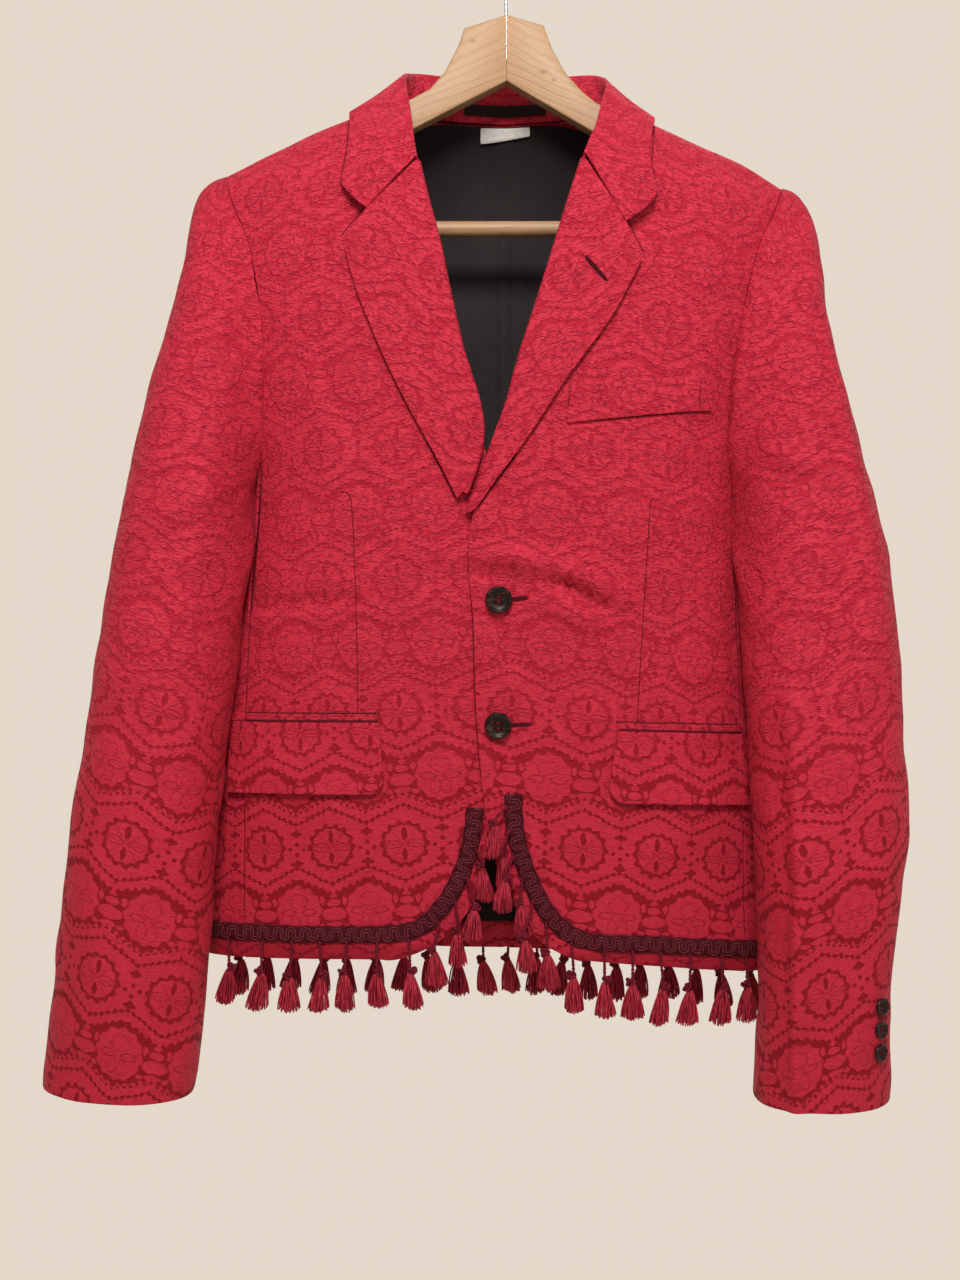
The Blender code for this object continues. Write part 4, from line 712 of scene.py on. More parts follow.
sleeve_heights, *sleeve_lets = np.array(SLEEVE_INNER).T
for side, side_name in SIDES:
    for piece, width in (("top", 0.30), ("under", 0.10)):
        panel, spots, (x, y, z) = opened(f"sleeve_{piece}_{side_name}")
        turn, out_x, out_y, middle_x = sleeve_place(side, x, y, z, piece)
        phase_across, phase_up, tilt, lean = SLEEVE_PHASE[side]
        around = turn * SLEEVE_AROUND
        across = around * side + phase_across + lean * (z - SLEEVE_PHASE_AT)
        # The rows lean less towards the shoulder
        up = z + phase_up + tilt * (x - middle_x) * np.clip((-0.30 - z) / 0.30, 0.3, 1)
        lift = ridges(SLEEVE_CREASES[side], around, z) + unrest(around, z, 2.0 + side)
        lift = lift * np.clip((SLEEVE_HEAD - z) / SLEEVE_EASE, 0, 1) + swelling(across, up)
        let_out = np.interp(z, sleeve_heights, sleeve_lets[0 if side < 0 else 1])
        spots[:, 0] += out_x * lift - side * let_out * np.clip(-np.sin(turn), 0, 1)
        spots[:, 1] += out_y * lift
        put_on(panel, spots, (width, 0.66, 0.74), across, up)


# Collar and lapels
# The collar is one turned piece from gorge to gorge, and each lapel is the top of a front turned
# over at the roll and met by the collar in a notch.
LAPEL_TURNED = math.radians(20)
LAPEL_EASE = 0.028      # from the roll line to where a lapel stands off in full
STANDS_OFF = 0.0024
COLLAR_MIDDLE = 0.004   # depth of the collar's middle
COLLAR_FALLS = 0.31     # how much its pattern drops for each metre to the side
COLLAR_FOLD = -0.140    # height from which the collar stands off, and over which
COLLAR_EASE = 0.055
# Ends of each roll line, at the neck and over the top button: x, z
ROLLS = {-1: ((-0.0693, -0.1760), (-0.0193, -0.4040)), 1: ((0.0585, -0.1760), (-0.0164, -0.4046))}
for side, side_name in SIDES:
    panel, spots, (x, y, z) = opened(f"lapel_{side_name}", 3, 72)
    turned = LAPEL_TURNED * side
    across = x * math.cos(turned) + z * math.sin(turned)
    up = z * math.cos(turned) - x * math.sin(turned)
    (top_x, top_z), (foot_x, foot_z) = ROLLS[side]
    run_x = foot_x - top_x
    run_z = foot_z - top_z
    away = side * ((z - top_z) * run_x - (x - top_x) * run_z) / math.hypot(run_x, run_z)
    off = np.clip(away / LAPEL_EASE, 0, 1)
    spots[:, 1] -= ridges(CREASES, x, z) + unrest(x, z) + STANDS_OFF * off * (2 - off)
    put_on(panel, spots, (0.10, 0.27, 0.50), across, up)

panel, spots, (x, y, z) = opened("collar", 2, 72)
across = np.arctan2(x, y - COLLAR_MIDDLE) * np.hypot(x, y - COLLAR_MIDDLE)
up = z + COLLAR_FALLS * np.abs(x)
off = np.clip((COLLAR_FOLD - z) / COLLAR_EASE, 0, 1)
spots[:, 1] -= 1.5 * STANDS_OFF * off * (2 - off)
put_on(panel, spots, (0.43, 0.095, 0.90), across, up)


# Pockets
# Each hip pocket has a narrow jet over a flap with rounded lower corners, and the chest pocket
# has a welt. All three are stitched to the front and lie on it.
FLAP_STANDS = 0.0030    # how far a flap's lower edge stands off the front
FLAP_LONG = 0.053
FLAP_PHASE = (0.021, 0.012)
# Each piece: which side it is on, and its cut
POCKETS = {
    "jet_left": (-1, (0.105, 0.012, 0.9)), "flap_left": (-1, (0.115, 0.055, 0.93)),
    "jet_right": (1, (0.105, 0.012, 0.9)), "flap_right": (1, (0.115, 0.055, 0.93)),
    "chest_welt": (1, (0.108, 0.028, 0.95)),
}
for node, (side, shape) in POCKETS.items():
    panel, spots, (x, y, z) = opened(node)
    across, up = front_marks(x, y, z, side)
    spots[:, 1] -= front_shift(x, z, across, up)
    if node.startswith("flap"):
        spots[:, 1] -= FLAP_STANDS * np.clip((z.max() - z) / FLAP_LONG, 0, 1) ** 1.4
        across = across + FLAP_PHASE[0]
        up = up + FLAP_PHASE[1]
    put_on(panel, spots, shape, across, up)


# Lining, band and label
# The back is lined with black satin, pleated down its middle. A black band and a small bare white
# label are stitched in at the neck.
LINING_EASE = 0.0003    # how far the lining hangs forward of its place
PLEAT_DEEPEST = -0.0005
# Pleats and folds of the lining, as the fronts' creases
PLEATS = [
    (-24, -160, -20, -600, 2.2, -1), (-10, -160, -8, -620, 2.6, -1.2), (-2, -160, 0, -660, 4, 1.2),
    (30, -220, 20, -500, 8, -1), (-50, -240, -40, -520, 8, 1),
]


def satin_finish():
    made, x, _, z = begun("black_satin", (0.017, 0.011, 0.013), 0.38, 0.12)
    streak = noise(x * 900, z * 90)
    cloud = noise(x * 28, z * 14)
    tone = mixed(cloud, (0.008, 0.005, 0.006), (0.019, 0.012, 0.014))
    return finished(made, tone, streak * 0.10 + cloud * 1.2, 0.50 + streak * 0.12)


def tape_finish():
    made, x, _, z = begun("white_tape", (0.80, 0.78, 0.74), 0.65)
    rib = (x * 12000).math("SINE") + (z * 12000).math("SINE")
    cloud = noise(x * 300, z * 300, 3.0)
    tone = mixed(cloud, (0.66, 0.63, 0.60), (0.88, 0.87, 0.85))
    return finished(made, tone, rib * 0.06 + cloud * 0.3)


satin = satin_finish()
panel, spots, (x, _, z) = opened("lining_back")
spots[:, 1] -= np.clip(ridges(PLEATS, x, z), PLEAT_DEEPEST, 1) + LINING_EASE
put_on(panel, spots, (0.40, 0.64, 0.85), material=satin, slot="lining")
panel, spots, _ = opened("neck_band", 2)
put_on(panel, spots, (0.065, 0.011, 0.95), material=satin, slot="lining")
panel, spots, _ = opened("size_label", 2)
put_on(panel, spots, (0.040, 0.011, 0.95), material=tape_finish(), slot="label")


# Buttons
# Two large buttons close the front and three small ones sit on each cuff. Each is turned from dark
# horn with a raised rim and a dished face, and is sewn on through four holes.
HORN_HOLE = 0.13        # share of the button's radius
HORN_HOLE_AT = 0.27
# Section of a button from the middle of its back: shares of its radius and of its thickness
HORN_PROFILE = [
    (0.0, 0.0), (0.60, 0.0), (0.82, 0.10), (0.95, 0.32), (1.0, 0.55), (0.99, 0.75), (0.955, 0.92),
    (0.90, 1.0), (0.83, 0.99), (0.76, 0.90), (0.70, 0.76), (0.62, 0.68), (0.50, 0.64), (0.0, 0.62),
]
SHANK = 0.0012
SHANK_RADIUS = 0.0024
THREAD_APART = 0.055    # between the threads of a hole, as a share of the button's radius
THREAD_RISE = 0.07      # how far they arch over the face
SEWING = 0.00034
# Each button's radius and thickness
BUTTONS = {"button_top": (0.0098, 0.0036), "button_bottom": (0.0098, 0.0036)}
for _, side_name in SIDES:
    for k in (1, 2, 3):
        BUTTONS[f"cuff_button_{side_name}_{k}"] = (0.0059, 0.0028)


def grid_piece(name, rows):
    """A piece from rows of points: a grid primitive set to them, with what meets merged."""
    rows = np.asarray(rows)
    down, along = rows.shape[:2]
    bpy.ops.mesh.primitive_grid_add(x_subdivisions=along - 1, y_subdivisions=down - 1, size=1)
    made = bpy.context.object
    made.name = name
    made.data.name = name
    flat = points_of(made.data)
    column = np.rint((flat[:, 0] + 0.5) * (along - 1)).astype(int)
    row = np.rint((flat[:, 1] + 0.5) * (down - 1)).astype(int)
    set_points(made.data, rows[row, column])
    merge_points(0.000002, outwards=True)
    smooth_over(made, 40)
    return made


def tubes(name, routes, radius, roundness=1, closed=False, taper=None):
    """Round threads along these routes, as one mesh."""
    bpy.ops.curve.primitive_nurbs_path_add(location=(0, 0, 0))
    made = bpy.context.object
    made.name = name
    curve = made.data
    curve.splines.clear()
    for points in routes:
        spline = curve.splines.new("POLY")
        spline.points.add(len(points) - 1)
        spline.points.foreach_set("co", np.column_stack([points, np.ones(len(points))]).ravel())
        if taper:
            spline.points.foreach_set("radius", np.linspace(*taper, len(points)))
        spline.use_cyclic_u = closed
    curve.bevel_depth = radius
    curve.bevel_resolution = roundness
    curve.use_fill_caps = not closed
    bpy.ops.object.convert(target="MESH")
    made = bpy.context.object
    made.data.name = name
    bpy.ops.object.shade_smooth()
    return made


def sew(name, routes, radius, material, *nodes, **shape):
    """Threads along these routes as a dressed piece."""
    dress(tubes(name, routes, radius, **shape), material, "trim", *nodes)


def button_facing(node):
    """Middle of a button's back and the way it faces, read from its solid."""
    spots = points_of(frame["nodes"][node].data)
    middle = (spots.min(axis=0) + spots.max(axis=0)) / 2
    _, _, axes = np.linalg.svd(spots - spots.mean(axis=0))
    facing = axes[2]
    wanted = np.array([np.sign(middle[0]) if "cuff" in node else 0.0, -0.8, 0.0])
    if facing @ wanted < 0:
        facing = -facing
    reach = (spots - middle) @ facing
    return middle + facing * reach.min(), facing


def horn_finish():
    made, x, _, z = begun("dark_horn", (0.018, 0.010, 0.008), 0.34, 0.30)
    streak = noise(x * 160 + z * 90, z * 420, 3.0)
    tone = mixed(streak.above(0.56, 0.10), (0.006, 0.003, 0.003), (0.046, 0.015, 0.009))
    return finished(made, tone, streak * 0.05)


# Dark red thread: the sewing of the buttons and the buttonholes' stitches, and painted shade in the
# buttonhole slits and along the pocket and lapel edges.
def thread_finish():
    made, x, _, z = begun("dark_thread_and_painted_shade", (0.075, 0.006, 0.014), 0.7, 0.12)
    lie = noise(x * 1500, z * 1500)
    return finished(made, mixed(lie, (0.045, 0.003, 0.008), (0.130, 0.012, 0.025)), lie * 0.15)


def around_axis(radius, height, turns):
    """Points of a circle at this height."""
    return [(radius * math.cos(turn), radius * math.sin(turn), height) for turn in turns]


horn = horn_finish()
thread = thread_finish()
turns = np.linspace(0, 2 * math.pi, 49)
disc = grid_piece("horn_disc", [around_axis(share, high, turns) for share, high in HORN_PROFILE])
for spot in around_axis(HORN_HOLE_AT, 0.5, np.radians([45, 135, 225, 315])):
    bpy.ops.mesh.primitive_cylinder_add(vertices=16, radius=HORN_HOLE, depth=3, location=spot)
    drill = bpy.context.object
    applied(disc, "BOOLEAN", operation="DIFFERENCE", object=drill)
    bpy.data.objects.remove(drill)
smooth_over(disc, 35)
for node, (radius, thick) in BUTTONS.items():
    back, facing = button_facing(node)
    upright = Vector(facing).to_track_quat("Z", "Y").to_matrix().to_4x4()
    upright.translation = Vector(back + facing * SHANK)
    made = disc.copy()
    made.data = disc.data.copy()
    made.name = f"{node}_horn"
    made.data.name = made.name
    bpy.context.scene.collection.objects.link(made)
    made.data.transform(upright @ Matrix.Diagonal((radius, radius, thick, 1)))
    dress(made, horn, "horn", node)
    # The sewing thread: two bars over the face, and the shank behind
    face = HORN_PROFILE[-1][1] * thick / radius
    low = HORN_HOLE_AT * 0.707
    stitches = []
    for row in (-1, 0, 1):
        for side in (-1, 1):
            in_hole = side * low + row * THREAD_APART
            above = side * low + row * 0.060
            arch = face + THREAD_RISE
            stitches.append([
                (-low, in_hole, -0.2), (-low, in_hole, face), (-low * 0.6, above, arch),
                (low * 0.6, above, arch), (low, in_hole, face), (low, in_hole, -0.2),
            ])
    shank = [(0, 0, -SHANK / radius - 0.05), (0, 0, 0.02)]
    for part, routes, thread_radius, roundness in (
        ("thread", stitches, SEWING, 1), ("shank", [shank], SHANK_RADIUS, 3),
    ):
        placed = [np.array([upright @ (Vector(point) * radius) for point in route]) for route in routes]
        sew(f"{node}_{part}", placed, thread_radius, thread, node, roundness=roundness)
bpy.data.objects.remove(disc)


# Buttonholes
# Each is a slit with close stitches worked over its edge all round, two in the right front and
# one in the right lapel.
# Each buttonhole: the piece it is in, and its two ends as x and z
HOLES = {
    "buttonhole_top": ("front_right_cloth", (-0.0040, -0.5230), (0.0141, -0.5218)),
    "buttonhole_bottom": ("front_right_cloth", (-0.0040, -0.6140), (0.0170, -0.6131)),
    "buttonhole_lapel": ("lapel_right_cloth", (0.0556, -0.2784), (0.0706, -0.2950)),
}
HOLE_HALF = 0.00085
HOLE_COUNT = 96
HOLE_LIFT = 0.00025     # how far the stitches lie off the cloth, and the slit
SLIT_LIFT = 0.0002
SLIT = 0.00038
WORKED = (0.00055, 0.00026, 0.00080)   # radius of the stitches, of the thread, and their spacing


def surface_of(*names):
    """The pieces of these names as one surface to lay threads on."""
    points = []
    faces = []
    for name in names:
        start = len(points)
        mesh = bpy.data.objects[name].data
        points += [vert.co.copy() for vert in mesh.vertices]
        faces += [[start + corner for corner in face.vertices] for face in mesh.polygons]
    return BVHTree.FromPolygons(points, faces)


def laid(surface, x, z, face, lift, otherwise=0.0):
    """The point of the finished cloth at this x and z, seen from the front or back, lifted off."""
    hit = surface.ray_cast(Vector((x, face, z)), Vector((0, -face, 0)))[0]
    depth = otherwise if hit is None else hit.y + face * lift
    return np.array([x, depth, z])


def reach_of(line):
    """Length along the line to each of its points."""
    return np.concatenate([[0], np.cumsum(np.linalg.norm(np.diff(line, axis=0), axis=1))])


def spaced(line, at):
    """The points of the line at these lengths along it."""
    reach = reach_of(line)
    return np.array([np.interp(at, reach, part) for part in line.T]).T


for name, (piece, first, last) in HOLES.items():
    surface = surface_of(piece)
    run = np.subtract(last, first)
    half = np.hypot(*run) / 2
    run = run / (2 * half)
    aside = np.array([-run[1], run[0]])
    middle = np.add(first, last) / 2
    ring = []
    for k in range(HOLE_COUNT + 1):
        # A long ring with round ends
        angle = 2 * math.pi * (k % HOLE_COUNT) / HOLE_COUNT
        forth = math.copysign(abs(math.cos(angle)) ** 0.55, math.cos(angle)) * half
        place = middle + run * forth + aside * math.sin(angle) * HOLE_HALF
        ring.append(laid(surface, *place, -1, HOLE_LIFT))
    ring = np.array(ring)
    coil_radius, thread_radius, spacing = WORKED
    whole = reach_of(ring)[-1]
    count = int(whole / spacing)
    line = spaced(ring, np.linspace(0, whole, count * 8 + 1))
    way = np.gradient(line, axis=0)
    way /= np.linalg.norm(way, axis=1)[:, None]
    out = np.cross(way, (0.0, -1.0, 0.0))
    spin = np.linspace(0, 2 * math.pi * count, len(line))[:, None]
    coil = line + coil_radius * (np.cos(spin) * out + np.sin(spin) * np.array([0.0, -0.75, 0.0]))
    sew(name, [coil], thread_radius, thread)
    # The slit is a dark thread laid along it, painted shade of the opening
    slit = [middle + run * half * share for share in (-0.9, -0.3, 0.3, 0.9)]
    slit = np.array([laid(surface, *place, -1, SLIT_LIFT) for place in slit])
    sew(f"{name}_slit", [slit], SLIT, thread)


# Seam lines and painted shade lines
# The waist darts and side seams are pressed in by a line of dark stitching, laid in the cloth. Dark lines
# along the pocket edges and the lapels' lower edges, and redder ones along the front's edge, the collar
# and the tops of the lapels, are painted shade under those edges.
LINE_RADIUS = 0.00034
LINE_STEP = 0.0022
LINE_LIFT = 0.00012   # how far each line lies off the cloth, and how far it rises and dips
LINE_DIP = 0.00010
HEAVY = 1.3             # from this thickness on a line has the dark thread
# Each line, a seam or a painted shade line: the piece it is on, its thickness beside the plain
# stitching, and its points, x and z in mm
SEAM_AND_SHADE_LINES = [
    ("front_left_cloth", 1.0, [
        (-121.2, -444.7), (-114, -446), (-112.3, -454), (-109.4, -536.1), (-108.7, -604.8),
    ]),
    # Painted shade: over the left jet, and under the left lapel's lower edge
    ("front_left_cloth", 1.5, [(-193, -605.7), (-150, -605.5), (-93.2, -605.2)]),
    ("front_left_cloth", 1.4, [(-57.6, -410.3), (-37.1, -450.1)]),
    # Seam: the left side seam
    ("front_left_cloth", 1.0, [(-181.4, -425), (-185.3, -480), (-190.8, -540), (-193.8, -610)]),
    ("front_left_cloth", 1.0, [(-194.1, -667), (-194.5, -760)]),
    # Painted shade between the left jet and its flap
    ("jet_left_cloth", 1.6, [(-193, -611), (-150, -610.7), (-94, -610.5)]),
    # Seam: the right waist dart
    ("front_right_cloth", 1.0, [(106, -449), (103.5, -450), (102.8, -456), (98.2, -539.7), (94.3, -611.8)]),
    # Painted shade: over the right jet, under the right lapel's edge and along the chest welt, and under
    # the right lapel's lower edge
    ("front_right_cloth", 1.5, [(79.7, -611.5), (130, -613.1), (172.5, -614.5)]),
    ("front_right_cloth", 1.4, [(45.2, -368), (42.2, -396.3), (96, -390.8), (148.4, -385.2)]),
    ("front_right_cloth", 1.4, [(6.2, -418.9), (-8.2, -437.9), (-21.5, -456)]),
    # Painted shade: the right front's edge over the left front, the collar's edges and the tops of the
    # lapels
    ("front_left_cloth", 1.1, [
        (-23.2, -452), (-26.2, -470), (-29.1, -494.4), (-25.2, -537.5), (-24.5, -580.8), (-22.2, -624.1),
        (-19.5, -652),
    ]),
    ("front_left_cloth", 1.2, [
        (-118.2, -165), (-117.6, -177.6), (-118, -190), (-119.2, -202.3), (-120.8, -212.5),
        (-121.6, -221.7),
    ]),
    ("front_left_cloth", 1.2, [(-96.5, -229), (-104.8, -238.5), (-112.3, -248.7), (-119.8, -260)]),
    ("front_right_cloth", 1.2, [
        (110.6, -165), (109, -177.6), (106.4, -194.6), (105.2, -205.3), (107.8, -218.2), (108.6, -230.7),
    ]),
    ("front_right_cloth", 1.2, [(79.7, -235.4), (86.8, -247.2), (92.3, -259.9), (97.8, -272.7)]),
    # Seam: the right side seam
    ("front_right_cloth", 1.0, [(167.5, -425), (168.3, -480), (170.8, -540), (173, -610)]),
    ("front_right_cloth", 1.0, [(173.8, -678), (175.8, -770)]),
    # Painted shade between the right jet and its flap
    ("jet_right_cloth", 1.6, [(80.5, -616.8), (130, -618.4), (172.5, -619.8)]),
    # Stitching at the chest welt's end
    ("chest_welt_cloth", 1.0, [(140, -362.2), (138.5, -384.8)]),
]


def rounded(points, rounds=3):
    """The polyline with its corners cut round."""
    line = np.array(points, float)
    for _ in range(rounds):
        near = 0.75 * line[:-1] + 0.25 * line[1:]
        far = 0.25 * line[:-1] + 0.75 * line[1:]
        between = np.stack([near, far], axis=1).reshape(-1, line.shape[1])
        line = np.vstack([line[:1], between, line[-1:]])
    return line


def woven_finish(name, dark, light, pitch):
    """Tightly laid dark thread that runs slantwise."""
    made, x, _, z = begun(name, dark, 0.62, 0.15)
    lie = ((x + z) * pitch).math("SINE") * ((x - z) * pitch).math("SINE")
    loose = noise(x * 700, z * 700)
    share = (lie * 0.25 + loose).above(0.5, 0.25)
    return finished(made, mixed(share, dark, light), lie * 0.2 + loose * 0.3)


seam_and_shade_thread = woven_finish("seam_and_shade_thread", (0.125, 0.0050, 0.0140), (0.200, 0.0085, 0.0220), 2600)
seam_and_shade_routes = {}
for piece, thick, points in SEAM_AND_SHADE_LINES:
    surface = surface_of(piece)
    line = rounded(np.array(points) / 1000, 2)
    whole = reach_of(line)[-1]
    depth = 0.0
    route = []
    stations = np.linspace(0, whole, max(4, int(whole / LINE_STEP)))
    for k, (x, z) in enumerate(spaced(line, stations)):
        spot = laid(surface, x, z, -1, LINE_LIFT + LINE_DIP * math.sin(2.1 * k), depth)
        depth = spot[1]
        route.append(spot)
    seam_and_shade_routes.setdefault((piece, thick), []).append(np.array(route))
for (piece, thick), routes in seam_and_shade_routes.items():
    # Plain seams and the redder painted shade lines take the seam thread, and the heavier painted shade
    # lines take the dark thread
    material = seam_and_shade_thread if thick < HEAVY else thread
    sew(f"{piece}_stitching_{round(thick * 10)}", routes, LINE_RADIUS * thick, material)


# Braid
# A dark woven braid with small loops along its edges is sewn round the cut edge of the fronts and
# the hem. A fine double cord winds along its middle.
BRAID_WIDE = 0.0110
BRAID_THICK = 0.0011
BRAID_STEP = 0.0013
BRAID_LIFT = 0.0009     # how far its edges lie off the cloth, and how much higher its middle is
BRAID_CROWN = 0.0008
GIMP_PERIOD = 0.0110
GIMP_HALF = 0.0036
GIMP_APART = 0.00105    # from the winding's middle to each of its two cords
GIMP_STEP = 0.00055
GIMP_RADIUS = 0.00040
GIMP_LIFT = 0.0021      # how far the cord lies off the cloth
LOOP_PERIOD = 0.0019
LOOP_RADIUS = 0.00042
LOOP_REACH = 0.0012     # how far a loop stands out from the edge
LOOP_TUCK = 0.0003      # how far its foot lies inside the edge
ROOT_LIFT = 0.0012      # how far the loops and the tassels' roots lie off the cloth
ROOT_TUCK = 0.0006      # how far a tassel's root lies inside the edge
# Each braid: which side of the line its tassels hang from, the face that it lies on, and its
# middle line in mm, x and z, from the front's upper end or across the back
BRAIDS = {
    "left": (1, -1, [
        (-23.6, -674.5), (-24.7, -688), (-27.2, -703.1), (-31.5, -717.6), (-40, -736.2), (-50, -750),
        (-62, -762), (-78, -767.2), (-120, -768.2), (-170, -768.2), (-205, -768.4), (-221.5, -768.6),
        (-225, -768.7),
    ]),
    "right": (-1, -1, [
        (4.5, -664), (4.5, -681.6), (7.2, -699.8), (12.7, -718), (20, -735.5), (30, -753), (43, -766),
        (59.3, -773.5), (93.6, -774.8), (141.6, -777.9), (170, -780), (190, -781.5), (205.8, -782.2),
    ]),
    "back": (-1, 1, [
        (-225, -768.7), (-220, -768.8), (-205, -769), (-150, -770.5), (0, -772), (150, -779),
        (190, -781.2), (205.8, -782.2),
    ]),
}


class Ribbon:
    """A strip along a line on the finished cloth: places are given as length along and across."""

    def __init__(self, under, turn, face, line):
        self.line = rounded(np.array(line) / 1000)
        self.length = reach_of(self.line)[-1]
        self.turn = turn
        self.surface = surface_of(*under)
        self.face = face
        self.depth = 0.0

    def flat(self, along):
        return spaced(self.line, along)

    def place(self, along, across, lift):
        along = min(max(along, 0.0), self.length)
        way = self.flat(min(along + 0.001, self.length)) - self.flat(max(along - 0.001, 0.0))
        way /= np.linalg.norm(way)
        x, z = self.flat(along) + np.array([-way[1], way[0]]) * self.turn * across
        spot = laid(self.surface, x, z, self.face, 0.0, self.depth)
        self.depth = spot[1]
        return spot + np.array([0.0, self.face * lift, 0.0])


braid_cloth = woven_finish("braid_ground", (0.040, 0.0012, 0.0050), (0.080, 0.0030, 0.0095), 2600)
gimp_cord = woven_finish("gimp_cord", (0.150, 0.0200, 0.0330), (0.270, 0.0480, 0.0660), 4200)
loop_cord = woven_finish("loop_cord", (0.090, 0.0050, 0.0140), (0.190, 0.0180, 0.0330), 4200)

ribbons = {}
for name, facts in BRAIDS.items():
    under = [f"front_{name}_cloth", f"side_{name}_cloth"]
    if name == "back":
        under = [f"{part}_{half}_cloth" for part in ("back", "side") for _, half in SIDES]
    ribbon = Ribbon(under, *facts)
    ribbons[name] = ribbon
    stations = np.linspace(0, ribbon.length, int(ribbon.length / BRAID_STEP))
    rows = []
    for share in np.linspace(-0.5, 0.5, 8):
        lift = BRAID_LIFT + BRAID_CROWN * (1 - (2 * share) ** 4)
        wide = BRAID_WIDE * (1 + 0.030 * np.sin(stations * 610 + share) + 0.022 * np.sin(stations * 233))
        rows.append([ribbon.place(along, share * part, lift) for along, part in zip(stations, wide)])
    strip = grid_piece(f"braid_{name}", rows)
    applied(strip, "SOLIDIFY", thickness=BRAID_THICK, offset=0.0)
    dress(strip, braid_cloth, "trim", f"fringe_{name}")
    # The winding double cord, with slow waves that keep it from being even
    turns = np.arange(0, ribbon.length, GIMP_STEP)
    phase = 2 * math.pi * turns / GIMP_PERIOD + 0.45 * np.sin(turns * 97) + 0.3 * np.sin(turns * 251)
    wound_x = turns - 0.00080 * np.sin(2 * phase)
    wound_y = GIMP_HALF * np.tanh(1.5 * np.sin(phase)) / math.tanh(1.5)
    wound_y = wound_y * (1 + 0.10 * np.sin(turns * 173)) + 0.00035 * np.sin(turns * 61)
    way = np.gradient(np.column_stack([wound_x, wound_y]), axis=0)
    way /= np.linalg.norm(way, axis=1)[:, None]
    routes = []
    for side in (-1, 1):
        route = []
        for k in range(len(turns)):
            along = wound_x[k] - way[k, 1] * side * GIMP_APART
            across = wound_y[k] + way[k, 0] * side * GIMP_APART
            route.append(ribbon.place(along, across, GIMP_LIFT))
        routes.append(np.array(route))
    sew(f"braid_cord_{name}", routes, GIMP_RADIUS, gimp_cord, f"fringe_{name}")
    # Small loops along both edges
    routes = []
    for side in (-1, 1):
        turns = np.arange(0, ribbon.length, LOOP_PERIOD / 4)
        wave = np.abs(np.sin(math.pi * turns / LOOP_PERIOD)) * (LOOP_REACH + 0.0004 * np.sin(turns * 419))
        edge = [
            ribbon.place(along, side * (BRAID_WIDE / 2 - LOOP_TUCK + high), ROOT_LIFT)
            for along, high in zip(turns, wave)
        ]
        routes.append(np.array(edge))
    sew(f"braid_loops_{name}", routes, LOOP_RADIUS, loop_cord, f"fringe_{name}", roundness=0)


# Tassels
# Each hangs from the braid's lower edge on a two-ply cord with a loose knot, over a bunch of fine
# crimson threads, spread by wear and cut round at the foot.
CORD_RADIUS = 0.00078
CORD_APART = 0.00062    # from the cord's middle to each ply's
CORD_TWIST = 0.0048     # length of one twist
KNOT_RADIUS = 0.00125
KNOT_SCALE = 0.00100
KNOT_DROP = 0.0035      # from the cord's end to the knot's middle
KNOT_ASIDE = (-0.0019, 0.0017)  # to the left of the cord, or less often to its right
CORD_TUCK = 0.002       # how far the cord goes on into the knot
SKIRT_DROP = 0.0018     # from there to the skirt's top
THREAD_RADIUS = 0.00058
SKIRT_LONG = 0.0262
SKIRT_WIDE = 0.0172
SKIRT_NECK = 0.0017     # radius under the knot
SKIRT_LEAST = 0.92      # size of the smallest skirt
STRANDS = 62
GOLDEN_TURN = 2.39996
# Tassels of the curved fronts: root x, root z, sway, cord length and lift of the knot in mm, and
# the skirt's size
TASSELS = {
    "left": [
        (-22.2, -704.3, 4.5, 8, 4.5, 0.80), (-27.3, -724.6, 4.8, 16.5, 15, 0.80),
        (-36.7, -742, 2.2, 18.5, 4.5, 0.90), (-50.5, -756.5, -2.9, 17, 4.5, 1.00),
    ],
    "right": [
        (-3.3, -671.6, -9, 8, 15, 0.80), (0.3, -689.8, -4.6, 15, 4.5, 0.78),
        (3.3, -708, -6.6, 11, 15, 0.80), (9, -726, -0.9, 14, 4.5, 0.85),
        (18.4, -742.7, -6.4, 20, 15, 0.90), (27.1, -758.7, 0.7, 18, 4.5, 1.00),
    ],
    "back": [],
}
# Tassels of the straight hem: their x, and the height of their roots, in mm
STRAIGHT = {
    "left": ([-71, -95.4, -118.2, -137.5, -158.5, -181, -207.1], -773.7),
    "right": ([46, 71.4, 92.4, 112.7, 135.2, 159.1, 178, 197], -776),
    "back": (np.linspace(-205, 190, 20), -774.5),
}
for name, (places, height) in STRAIGHT.items():
    for k, x in enumerate(places):
        sway = 1.2 * math.sin(2.3 * k + 1)
        cord = 19.5 + 1.8 * math.sin(5 * k)
        TASSELS[name].append((x, height, sway, cord, 3.3, 1.0))


def streaked_finish(name, dark, light):
    """Fine loose threads that hang side by side, each of its own tone."""
    made, x, y, z = begun(name, dark, 0.55, 0.25)
    streak = noise(x * 1300 + y * 500, z * 55 + y * 300)
    return finished(made, mixed(streak.above(0.52, 0.14), dark, light), streak * 0.3)


